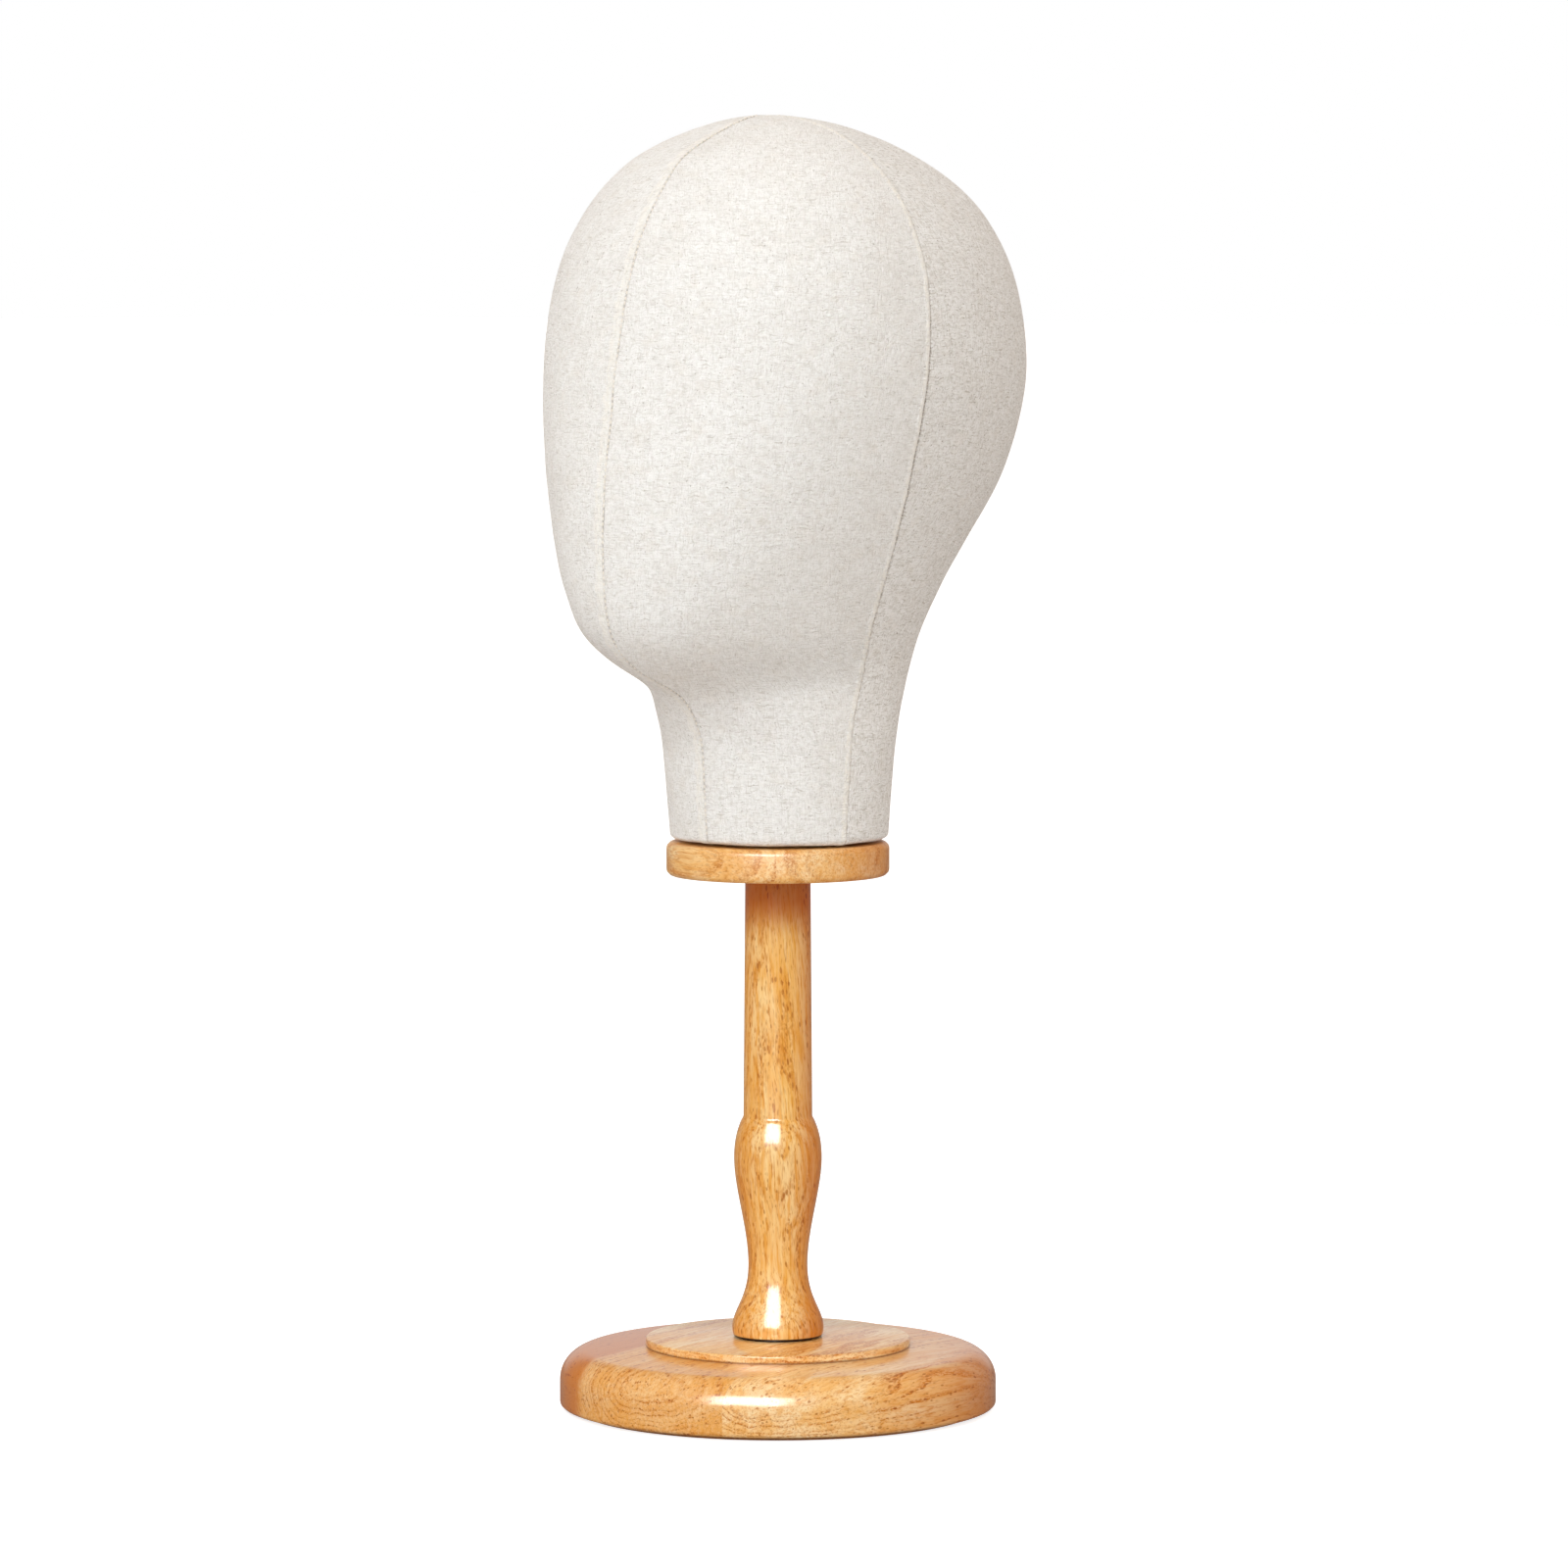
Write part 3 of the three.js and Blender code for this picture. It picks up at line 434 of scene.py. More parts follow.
def linen(name, seed, thread_strength_and_shade):
    """Undyed plain weave, with its uneven threads shown as strongly as thread_strength_and_shade says.
    The cloth's own coordinates are in metres in the map named cloth."""
    material, tree, shader = new_material(name)
    flat = add(tree, "UVMap", uv_map="cloth").outputs["UV"]
    in_mm = {"Vector": flat, "Location": (seed, seed * 1.7, 0.0), "Scale": (1000.0, 1000.0, 1.0)}
    mapped = add(tree, "Mapping", in_mm).outputs["Vector"]

    def stretched_by(vector, *stretch):
        made = add(tree, "VectorMath", {0: vector, 1: (*stretch, 0.0)}, operation="MULTIPLY")
        return made.outputs[0]

    def noise_on(vector, stretch, detail=2.0, roughness=0.5):
        return noise_at(tree, stretched_by(vector, *stretch), 1.0, detail, roughness)

    wander = add(tree, "TexNoise", {"Vector": mapped, "Scale": 0.3, "Detail": 3.0}).outputs["Color"]
    wandered = stretched_by(wander, 2.6, 2.6)
    cloth = add(tree, "VectorMath", {0: mapped, 1: wandered}, operation="ADD").outputs[0]
    across, along, _ = add(tree, "SeparateXYZ", {"Vector": cloth}).outputs

    # Plain weave: each thread passes over and under in turn
    def rounded(threads):
        return calc(tree, "ABSOLUTE", calc(tree, "SINE", times(tree, threads, math.pi)))

    def height_of(own, other):
        return times(tree, own, calc(tree, "MULTIPLY_ADD", other, 0.45, 0.55))

    warp, weft = (calc(tree, "DIVIDE", part, THREAD_PITCH) for part in (across, along))
    floors = [calc(tree, "FLOOR", threads) for threads in (warp, weft)]
    over = calc(tree, "PINGPONG", calc(tree, "ADD", *floors), 1.0)
    warp_round, weft_round = rounded(warp), rounded(weft)
    heights = {"To Min": height_of(warp_round, weft_round), "To Max": height_of(weft_round, warp_round)}
    high = add(tree, "MapRange", {"Value": over, **heights}).outputs["Result"]

    # Threads that are thicker or darker for a few millimetres, either way of the cloth
    level_threads = noise_on(cloth, (0.3, 1.35), detail=1.0)
    upright_threads = noise_on(cloth, (1.35, 0.3), detail=1.0)
    dull = calc(tree, "MAXIMUM", level_threads, upright_threads)
    bright = calc(tree, "MINIMUM", level_threads, upright_threads)
    pebble = noise_on(cloth, (1.15, 1.15), roughness=0.65)
    level_slubs = remap(tree, noise_on(cloth, (0.16, 1.8), detail=1.0), 0.62, 0.74)
    upright_slubs = remap(tree, noise_on(cloth, (1.8, 0.16), detail=1.0), 0.64, 0.76)
    slubs = calc(tree, "MAXIMUM", level_slubs, times(tree, upright_slubs, 0.7))
    specks = remap(tree, noise_on(cloth, (1.3, 1.3), detail=0.0), 0.74, 0.8)
    warm = remap(tree, noise_on(cloth, (0.1, 0.13), detail=3.0), 0.52, 0.7)
    cloud = noise_on(cloth, (0.05, 0.06))

    band = add(tree, "Attribute", attribute_name="seam_band").outputs["Fac"]
    line = add(tree, "Attribute", attribute_name="seam_groove_shade").outputs["Fac"]
    broken = remap(tree, noise_on(mapped, (0.5, 0.9)), 0.36, 0.58, 0.45, 1.0)
    worn = remap(tree, noise_on(mapped, (0.7, 0.35)), 0.36, 0.6, 0.15, 0.65)

    # A cloth whose threads show more strongly starts a little paler, as its dark threads take more away
    lift = 3.0 * (thread_strength_and_shade - 1.0)
    pale = (247 + lift, 246 + lift, 243 + lift)
    cloudy = (243 + lift, 241 + lift, 237 + lift)
    colour = tint(tree, pale, (
        (remap(tree, cloud, 0.38, 0.66), cloudy),
        (remap(tree, dull, 0.5, 0.72, 0.0, 0.55 * thread_strength_and_shade), (222, 219, 213)),
        (remap(tree, pebble, 0.5, 0.72, 0.0, 0.45 * thread_strength_and_shade), (213, 209, 202)),
        (remap(tree, bright, 0.45, 0.28, 0.0, 0.5 * thread_strength_and_shade), (253, 252, 250)),
        # The low places between the threads are painted darker, as painted shade
        (remap(tree, high, 0.0, 0.5, 0.16, 0.0), (182, 172, 161)),
        (times(tree, warm, 0.1), (226, 211, 190)),
        (times(tree, slubs, 0.5 * thread_strength_and_shade), (194, 187, 176)),
        (times(tree, specks, 0.45 * thread_strength_and_shade), (150, 138, 124)),
        (times(tree, band, worn), (253, 248, 237)),
        # The seam's groove is painted darker along its line, as painted shade
        (times(tree, line, broken), (116, 92, 70)),
    ))
    tree.links.new(colour, shader.inputs["Base Color"])

    relief = calc(tree, "MULTIPLY_ADD", high, 0.35, calc(tree, "ADD", level_threads, upright_threads))
    relief = calc(tree, "MULTIPLY_ADD", pebble, 2.2, relief)
    bump(tree, relief, 1.0, 0.26 * MM, shader.inputs["Normal"])
    sheen = {"Sheen Weight": 0.1, "Sheen Roughness": 0.6}
    set_shader(shader, {"Roughness": 0.92, "Specular IOR Level": 0.2, **sheen})
    return material


def spun_thread(name, first, second):
    material, tree, shader = new_material(name)
    coordinates = add(tree, "TexCoord").outputs["Object"]
    twist = noise_at(tree, coordinates, 2600.0, detail=1.0)
    tree.links.new(tint(tree, first, [(twist, second)]), shader.inputs["Base Color"])
    bump(tree, twist, 0.5, 0.05 * MM, shader.inputs["Normal"])
    set_shader(shader, {"Roughness": 0.7})
    return material


def speckled(name, first, second, scale, roughness, relief, metallic=0.0):
    """A plain finish with fine variation of colour and height, for felt, foam, bare wood and metal."""
    material, tree, shader = new_material(name)
    coordinates = add(tree, "TexCoord").outputs["Object"]
    grain = noise_at(tree, coordinates, scale, detail=4.0, roughness=0.65)
    colour = tint(tree, first, [(remap(tree, grain, 0.35, 0.68), second)])
    tree.links.new(colour, shader.inputs["Base Color"])
    bump(tree, grain, 0.5, relief, shader.inputs["Normal"])
    set_shader(shader, {"Roughness": roughness, "Metallic": metallic})
    return material


# Turned pieces

def half_section(node):
    """A turned CAD piece's outline, as (radius, height) in order round its section."""
    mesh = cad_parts[node].data
    spots = [(round(v.co.x, 7), round(v.co.z, 7)) for v in mesh.vertices]
    in_plane = [abs(v.co.y) < ON_AXIS and v.co.x > -ON_AXIS for v in mesh.vertices]
    beside = {}
    for edge in mesh.edges:
        a, b = edge.vertices
        if in_plane[a] and in_plane[b] and spots[a] != spots[b]:
            beside.setdefault(spots[a], set()).add(spots[b])
            beside.setdefault(spots[b], set()).add(spots[a])
    left = set(beside)
    start = min(left)
    walk = [start]
    left.remove(start)
    while left:
        here = walk[-1]
        near = [s for s in beside[here] if s in left] or left
        step = min(near, key=lambda s: (abs(s[1] - here[1]) > ON_AXIS, math.dist(s, here)))
        walk.append(step)
        left.remove(step)
    return np.array(walk)


def smooth_outline(points, closed):
    """The outline with its round stretches as curves, and its corners and long straights kept."""
    count = len(points)
    spans = count if closed else count - 1
    chord = [points[(i + 1) % count] - points[i] for i in range(spans)]
    length = [np.linalg.norm(c) for c in chord]
    way = [c / l for c, l in zip(chord, length)]

    def turn(i):
        if not closed and i in (0, count - 1):
            return math.pi
        before, after = way[i - 1], way[i % spans]
        return math.acos(max(-1.0, min(1.0, float(before @ after))))

    def straight(i):
        ends = [length[j % spans] for j in (i - 1, i + 1) if closed or 0 <= j < spans]
        between_corners = min(turn(i), turn((i + 1) % count)) > CORNER_ANGLE
        return length[i] > LONG_STRAIGHT * min(ends) or between_corners

    def tangent(i):
        """The curve's direction at point i, or None at a corner."""
        if turn(i % count) > CORNER_ANGLE:
            return None
        before, after = (i - 1) % spans, i % spans
        if straight(before):
            return way[before]
        if straight(after):
            return way[after]
        mixed = way[before] * length[after] + way[after] * length[before]
        return mixed / np.linalg.norm(mixed)

    made = []
    for i in range(spans):
        first, last = points[i], points[(i + 1) % count]
        if straight(i):
            made.append(first)
            continue
        leave, arrive = tangent(i), tangent(i + 1)
        if leave is None and arrive is None:
            leave = arrive = way[i]
        elif leave is None:
            leave = 2 * (arrive @ way[i]) * way[i] - arrive
        elif arrive is None:
            arrive = 2 * (leave @ way[i]) * way[i] - leave
        steps = max(1, math.ceil(length[i] / OUTLINE_STEP))
        for k in range(steps):
            s = k / steps
            made.append(
                (1 + 2 * s) * (1 - s) ** 2 * first
                + s * (1 - s) ** 2 * length[i] * leave
                + s * s * (3 - 2 * s) * last
                + s * s * (s - 1) * length[i] * arrive
            )
    if not closed:
        made.append(points[-1])
    return made


def revolve(outline, closed):
    """Vertices and faces of the solid that an outline sweeps round the Z axis."""
    vertices, rings = [], []
    for radius, height in outline:
        if radius < ON_AXIS:
            rings.append([len(vertices)] * TURNED_SIDES)
            vertices.append((0.0, 0.0, height))
            continue
        rings.append(list(range(len(vertices), len(vertices) + TURNED_SIDES)))
        for side in range(TURNED_SIDES):
            angle = 2 * math.pi * side / TURNED_SIDES
            vertices.append((radius * math.cos(angle), radius * math.sin(angle), height))
    faces = []
    for i in range(len(rings) if closed else len(rings) - 1):
        low, high = rings[i], rings[(i + 1) % len(rings)]
        for side in range(TURNED_SIDES):
            after = (side + 1) % TURNED_SIDES
            face = dict.fromkeys((low[side], low[after], high[after], high[side]))
            faces.append(tuple(face))
    return vertices, faces


def tube_faces(first, rings, sides):
    """Faces between rings of vertices that are numbered on from the first."""
    for low in range(first, first + (rings - 1) * sides, sides):
        for side in range(sides):
            after = (side + 1) % sides
            yield low + side, low + after, low + sides + after, low + sides + side


def face_outwards(mesh):
    shape = bmesh.new()
    shape.from_mesh(mesh)
    bmesh.ops.recalc_face_normals(shape, faces=shape.faces)
    shape.to_mesh(mesh)
    shape.free()
    mesh.set_sharp_from_angle(angle=CORNER_ANGLE)


def turned_piece(node, material, body):
    """A smooth turned piece in the place of its faceted CAD node."""
    outline = half_section(node)
    closed = outline[:, 0].min() > ON_AXIS
    vertices, faces = revolve(smooth_outline(outline, closed), closed)
    return make_piece(node + "_turned", vertices, faces, material, body, [node])


def cut_screw_holes(piece):
    """Countersunk holes through the neck disc, a little wider than the screws in them."""
    disc_low, disc_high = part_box("neck_disc")
    for number in (1, 2, 3):
        low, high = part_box(f"disc_screw_{number}")
        middle = (low + high) / 2
        wide = (high.x - low.x) / 2 + HOLE_CLEARANCE
        narrow = HOLE_NARROW_SHARE * wide
        outline = [
            (0.0, disc_low.z - MM),
            (wide, disc_low.z - MM),
            (wide, low.z + HOLE_NARROWS[0]),
            (narrow, low.z + HOLE_NARROWS[1]),
            (narrow, disc_high.z + MM),
            (0.0, disc_high.z + MM),
        ]
        vertices, faces = revolve(outline, closed=False)
        cutter = new_object("cutter", bpy.data.meshes.new("cutter"))
        cutter.data.from_pydata([(x + middle.x, y + middle.y, z) for x, y, z in vertices], [], faces)
        face_outwards(cutter.data)
        hole = piece.modifiers.new("hole", "BOOLEAN")
        hole.object = cutter
        hole.solver = "EXACT"
        bpy.context.view_layer.objects.active = piece
        bpy.ops.object.modifier_apply(modifier=hole.name)
        bpy.data.objects.remove(cutter)
    piece.data.set_sharp_from_angle(angle=CORNER_ANGLE)


# The head's surface

def outer_rings():
    """The CAD panels' outer faces as rings of points from the neck's foot up, and the crown.
    A ring has CAD_COLUMNS points to a panel, anticlockwise from the face seam."""
    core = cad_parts["head_core"].data
    tree = BVHTree.FromPolygons([v.co for v in core.vertices], [p.vertices for p in core.polygons])
    levels = {}
    for panel, name in enumerate(PANELS):
        spots = {tuple(round(c, 7) for c in v.co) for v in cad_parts[name].data.vertices}
        for spot in spots:
            if tree.find_nearest(spot)[3] > CLOTH_FROM_CORE:
                level = levels.setdefault(round(spot[2], 5), [[] for _ in PANELS])
                level[panel].append(spot)
    heights = sorted(h for h, level in levels.items() if all(len(p) == CAD_COLUMNS + 1 for p in level))
    crown = np.mean([spot for panel in levels[heights[-1]] for spot in panel], axis=0)
    rings = []
    for height in heights[1:-1]:
        level = levels[height]
        middle = np.mean([spot for panel in level for spot in panel], axis=0)
        ordered = []
        for panel, spots in enumerate(level):
            start = (panel - 1) * math.pi / 2 - math.pi / 4
            away = np.array(spots) - middle
            angle = (np.arctan2(away[:, 1], away[:, 0]) - start) % (2 * math.pi)
            ordered.append(np.array(spots)[np.argsort(angle)])
        ring = []
        for panel in range(4):
            seam = (ordered[panel][0] + ordered[panel - 1][-1]) / 2
            ring.extend([seam, *ordered[panel][1:-1]])
        rings.append(ring)
    return np.array(rings), crown


def spline_weights(knots, places):
    """Weights that turn values at the knots into a natural cubic spline's values at the places."""
    count = len(knots)
    gap = np.diff(knots)
    left, right = np.eye(count), np.zeros((count, count))
    for i in range(1, count - 1):
        left[i, i - 1 : i + 2] = gap[i - 1], 2 * (gap[i - 1] + gap[i]), gap[i]
        right[i, i - 1 : i + 2] = 6 / gap[i - 1], -6 / gap[i - 1] - 6 / gap[i], 6 / gap[i]
    bends = np.linalg.solve(left, right)
    k = np.clip(np.searchsorted(knots, places, side="right") - 1, 0, count - 2)
    before, after, width = places - knots[k], knots[k + 1] - places, gap[k]
    own = np.eye(count)
    return (
        (after / width)[:, None] * own[k]
        + (before / width)[:, None] * own[k + 1]
        + ((after**3 / width - width * after) / 6)[:, None] * bends[k]
        + ((before**3 / width - width * before) / 6)[:, None] * bends[k + 1]
    )


RINGS, CROWN = outer_rings()
RING_POINTS = RINGS.shape[1]

# Points that a spline takes along beyond its ends, so that it is smooth there
PAD = 6


def meridian_rows(step):
    """The head's rings at an even spacing from the foot to the crown, smooth across the crown."""
    over = np.roll(RINGS[::-1], RING_POINTS // 2, axis=1)[:PAD]
    crown = np.broadcast_to(CROWN, (1, RING_POINTS, 3))
    stack = np.concatenate([RINGS, crown, over])
    rise = np.linalg.norm(np.diff(stack, axis=0), axis=2).mean(axis=1)
    knots = np.concatenate([[0.0], np.cumsum(rise)])
    top = knots[len(RINGS)]
    places = np.linspace(0.0, top - CROWN_RADIUS, round(top / step))
    return np.einsum("rk,kpc->rpc", spline_weights(knots, places), stack)


def ring_at(ring, places):
    """Points of a closed ring at ring places, where a whole number is one of its own points."""
    padded = np.concatenate([ring[-PAD:], ring, ring[:PAD]])
    knots = np.arange(-PAD, RING_POINTS + PAD, dtype=float)
    return spline_weights(knots, places) @ padded


def cushion_noise(point):
    """Slight unevenness of cloth pulled over a padded form."""
    broad = noise.noise(Vector(point) * 22.0)
    fine = noise.noise(Vector(point) * 75.0 + Vector((5.0, 1.0, 9.0)))
    return broad * BROAD_CUSHION + fine * FINE_CUSHION


def unit(vectors):
    return vectors / np.linalg.norm(vectors, axis=-1, keepdims=True)


def run_along(points):
    """How far along a line of points each of them is."""
    return np.concatenate([[0.0], np.cumsum(np.linalg.norm(np.diff(points, axis=0), axis=1))])


def smooth_step(value):
    held = np.clip(value, 0.0, 1.0)
    return held * held * (3 - 2 * held)


def noise_along(places, scale, second, third):
    return np.array([noise.noise(Vector((place * scale, second, third))) for place in places])


def seam_shape(distance, run_up, kind, banded):
    """(height of the cloth, share of band, share of painted shade along the seam's groove) at a distance
    from a seam, at places run_up along it. Only one side of a seam has its band."""
    pucker = 0.5 + 0.5 * np.cos(2 * math.pi * run_up / PUCKER_PITCH)
    ragged = 0.8 + 0.9 * noise_along(run_up, 160.0, kind["seed"], 3.0)
    off_opening = (run_up - kind["open_at"]) / kind["open_reach"]
    openness = LEAST_OPEN + (1 - LEAST_OPEN) * np.exp(-(off_opening**2))
    strength = np.clip(ragged, 0.2, 1.0) * openness
    pucker, strength = pucker[:, None], strength[:, None]
    groove = np.exp(-((distance / kind["groove_width"]) ** 2))
    plateau = np.zeros_like(distance)
    if banded:
        frayed = noise_along(run_up, 420.0, 9.0, kind["seed"])[:, None]
        width = kind["band_width"] * (1 + BAND_FRAY * frayed)
        plateau = smooth_step((width - distance) / BAND_EDGE)
    swell = kind["band"] * plateau * (1 - BAND_PUCKER * pucker * (kind is BUTTED))
    if kind is BUTTED and not banded:
        swell = LOW_LIP["height"] * np.exp(-(((distance - LOW_LIP["away"]) / LOW_LIP["width"]) ** 2))
    # The painted shade along the groove, strongest where the seam opens
    line = np.exp(-((distance / (kind["groove_width"] * GROOVE_SHADE_SPREAD)) ** 2)) * kind["dark"] * strength
    return swell - kind["groove"] * groove * strength, plateau * kind["pale"], line


def seam_places(rows, seam):
    """A seam's ring places row by row. It wanders a little from its true line."""
    first, second = ring_at(rows[len(rows) // 2], np.array([0.0, 1.0]))
    wander = noise_along(rows[:, 0, 2], 55.0, 7.0 * seam, 1.0)
    return seam * CAD_COLUMNS + wander * 2 * SEAM_WANDER / np.linalg.norm(first - second)


def panel_surface(panel, rows):
    """A panel's outer face as a grid of points, with the distances to its two seams."""
    starts, ends = seam_places(rows, panel), seam_places(rows, (panel + 1) % 4)
    ends = ends + RING_POINTS * (panel == 3)
    grade = (np.arange(SEAM_COLUMNS) / SEAM_COLUMNS) ** SEAM_GRADING
    points, from_start, from_end = [], [], []
    for ring, start, end in zip(rows, starts, ends):
        dense = np.linspace(start, end, RING_SAMPLES)
        run = run_along(ring_at(ring, dense))
        width = run[-1]
        split = min(SEAM_SPLIT, 0.02 * width)
        zone = min(SEAM_ZONE, 0.3 * width)
        edge = split + grade * zone
        middle = np.linspace(split + zone, width - split - zone, MIDDLE_COLUMNS + 1)
        spots = np.concatenate([edge, middle, (width - edge)[::-1]])
        points.append(ring_at(ring, np.interp(spots, run, dense)))
        from_start.append(spots - split)
        from_end.append(width - split - spots)
    return np.array(points), np.array(from_start), np.array(from_end)


def grid_normals(points):
    return unit(np.cross(np.gradient(points, axis=1), np.gradient(points, axis=0)))


def add_foot(points, normals):
    """The cover's rows below the lowest ring: round the neck's foot, then tucked in under it."""
    foot_round = float(points[0, 0, 2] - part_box(PANELS[0])[0].z)
    out = unit(normals[0] * [1, 1, 0])
    centre = points[0] - out * foot_round
    down = np.array([0.0, 0.0, -1.0])
    made, ways = [], []
    for tuck in np.linspace(TUCK_LENGTH, 0.0, TUCK_STEPS):
        made.append(centre - out * tuck + down * foot_round)
        ways.append(np.broadcast_to(down, out.shape))
    for step in range(1, FOOT_STEPS):
        angle = math.pi / 2 * (1 - step / FOOT_STEPS)
        way = out * math.cos(angle) + down * math.sin(angle)
        made.append(centre + way * foot_round)
        ways.append(way)
    made = np.array(made)
    uneven = np.array([noise.noise(Vector(spot) * 60.0) for spot in points[0]])
    clear = (FOOT_GAP + FOOT_GAP_WANDER * (uneven + 0.5))[None, :]
    made[..., 2] += clear * (points[0, :, 2] - made[..., 2]) / foot_round
    return made, np.array(ways)


def cloth_panel(panel, rows, material):
    """One linen panel: a thin closed sheet with the seams' shape along its edges, calm at its foot."""
    points, from_start, from_end = panel_surface(panel, rows)
    normals = grid_normals(points)
    foot, foot_ways = add_foot(points, normals)
    below = len(foot)
    points = np.concatenate([foot, points])
    normals = np.concatenate([foot_ways, normals])
    from_start = np.concatenate([np.repeat(from_start[:1], below, axis=0), from_start])
    from_end = np.concatenate([np.repeat(from_end[:1], below, axis=0), from_end])

    along = run_along(points[:, points.shape[1] // 2])

    # The raised side of a side seam is the front panel's, and a felled seam's is the one before it
    start_shape = seam_shape(from_start, along, SEAM_KINDS[panel], banded=panel == 3)
    end_shape = seam_shape(from_end, along, SEAM_KINDS[(panel + 1) % 4], banded=panel != 2)
    off_crown = smooth_step((from_start + from_end) / CROWN_FADE)[..., None]
    uneven = np.array([[cushion_noise(p) for p in row] for row in points])[..., None]
    uneven[:below] *= FOOT_CALM
    lift = (start_shape[0] + end_shape[0])[..., None] * off_crown + uneven
    outer = points + normals * lift
    inner = points + normals * (np.minimum(lift, 0.0) * 0.9 - CLOTH_THICKNESS)

    layer = from_start.size
    index = np.arange(layer).reshape(from_start.shape)
    corners = (index[:-1, :-1], index[:-1, 1:], index[1:, 1:], index[1:, :-1])
    quads = np.stack(corners, axis=2).reshape(-1, 4)
    faces = [*quads, *(quads[:, [0, 3, 2, 1]] + layer)]
    for edge in (index[:, 0], index[::-1, -1], index[0, ::-1], index[-1]):
        faces.extend((a, b, b + layer, a + layer) for a, b in zip(edge, edge[1:]))
    faces = [tuple(int(i) for i in face) for face in faces]
    vertices = np.concatenate([outer.reshape(-1, 3), inner.reshape(-1, 3)])
    name = PANELS[panel]
    piece = make_piece(name + "_cloth", vertices, faces, material, "head", [name])

    # Cloth coordinates: across from the panel's middle, and along its middle line
    across = (from_start - from_end) / 2
    flat = np.stack([across, np.broadcast_to(along[:, None], across.shape)], axis=2).reshape(-1, 2)
    flat = np.concatenate([flat, flat])
    corner = np.zeros(len(piece.data.loops), np.int32)
    piece.data.loops.foreach_get("vertex_index", corner)
    cloth_map = piece.data.uv_layers.new(name="cloth")
    cloth_map.uv.foreach_set("vector", flat[corner].ravel().astype(np.float32))
    for label, part in (("seam_band", 1), ("seam_groove_shade", 2)):
        value = np.clip(start_shape[part] + end_shape[part], 0.0, 1.0).ravel()
        attribute = piece.data.attributes.new(label, "FLOAT", "POINT")
        attribute.data.foreach_set("value", np.concatenate([value, value]).astype(np.float32))


def head_filling(rows, material):
    """The firm filling under the cover, with its pocket for the plug."""
    places = np.linspace(0, RING_POINTS, FILLING_COLUMNS + 1)[:-1]
    shell = np.array([ring_at(ring, places) for ring in rows[::FILLING_ROW_SKIP]])
    closed_shell = np.concatenate([shell, shell[:, :1]], axis=1)
    normals = grid_normals(closed_shell)[:, :-1]
    # The first column lies in the plane of symmetry
    normals[:, 0] = normals[:, 0] * [0, 1, 1]
    shell = shell - unit(normals) * FILLING_INSET
    plug_low, plug_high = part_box("neck_plug")
    reach = (plug_high.x - plug_low.x) / 2 + HOLE_CLEARANCE
    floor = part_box("head_core")[0].z + FOOT_GAP + FOOT_GAP_WANDER
    ceiling = plug_high.z + HOLE_CLEARANCE
    around = np.arctan2(shell[0, :, 1], shell[0, :, 0])
    pocket = np.stack([np.cos(around), np.sin(around), np.zeros_like(around)], axis=1) * reach
    foot_edge = shell[0] * [1, 1, 0]
    foot_reach = np.linalg.norm(foot_edge, axis=1, keepdims=True)
    low_ring = foot_edge * (1 - FILLING_FOOT_INSET / foot_reach) + [0, 0, floor]
    rings = [pocket + [0, 0, ceiling], pocket + [0, 0, floor], low_ring, *shell]
    count = len(places)
    vertices = [point for ring in rings for point in ring]
    faces = list(tube_faces(0, len(rings), count))
    vertices.append(np.array([0.0, 0.0, ceiling]))
    vertices.append(CROWN - [0, 0, FILLING_INSET])
    last = (len(rings) - 1) * count
    for c in range(count):
        after = (c + 1) % count
        faces.append((len(vertices) - 2, after, c))
        faces.append((len(vertices) - 1, last + c, last + after))
    piece = make_piece("head_filling", vertices, faces, material, "head", ["head_core"])


def stitch(vertices, faces, middle, way, out, length, thickness):
    """One short stitch of thread, bowed up in its middle and sunk at its ends."""
    side = np.cross(way, out)
    first = len(vertices)
    for i in range(STITCH_SECTIONS):
        s = i / (STITCH_SECTIONS - 1) * 2 - 1
        radius = thickness * math.sqrt(max(1 - s**4, 0.02))
        centre = middle + way * (s * length / 2) - out * (STITCH_END_SINK * s * s)
        for k in range(STITCH_SIDES):
            angle = 2 * math.pi * k / STITCH_SIDES
            vertices.append(centre + (side * math.cos(angle) + out * math.sin(angle)) * radius)
    last = first + (STITCH_SECTIONS - 1) * STITCH_SIDES
    faces.extend(tube_faces(first, STITCH_SECTIONS, STITCH_SIDES))
    faces.append(tuple(first + k for k in reversed(range(STITCH_SIDES))))
    faces.append(tuple(last + k for k in range(STITCH_SIDES)))


def seam_stitches(name, rows, seam, material):
    """A seam's stitches: small ones along a felled seam, and a ladder across a butted one."""
    ladder = SEAM_KINDS[seam] is BUTTED
    places = seam_places(rows, seam)
    beside = np.array([-0.02, 0.0, 0.02])
    line = np.array([ring_at(ring, place + beside) for ring, place in zip(rows, places)])
    centre = line[:, 1]
    across = unit(line[:, 2] - line[:, 0])
    up = unit(np.gradient(centre, axis=0))
    out = unit(np.cross(across, up))
    run = run_along(centre)
    pitch = PUCKER_PITCH if ladder else RUNNING_PITCH
    vertices, faces = [], []
    for count, place in enumerate(np.arange(pitch, run[-1] - STITCHES_STOP, pitch)):
        place += STITCH_JITTER * pitch * noise.noise(Vector((count * 1.7, seam * 3.0, 0.5)))
        spot, way_up, way_out, way_across = (
            np.array([np.interp(place, run, part[:, k]) for k in range(3)])
            for part in (centre, up, out, across)
        )
        if ladder:
            way = unit(way_across * LADDER_LEAN[0] + way_up * LADDER_LEAN[1])
            middle = spot - way_out * LADDER_SINK
            stitch(vertices, faces, middle, way, way_out, LADDER_LENGTH, THREAD_RADIUS)
        else:
            middle = spot + way_out * RUNNING_LIFT
            stitch(vertices, faces, middle, way_up, way_out, RUNNING_LENGTH, STITCH_RADIUS)
    make_piece(name, vertices, faces, material, "head")


# Build

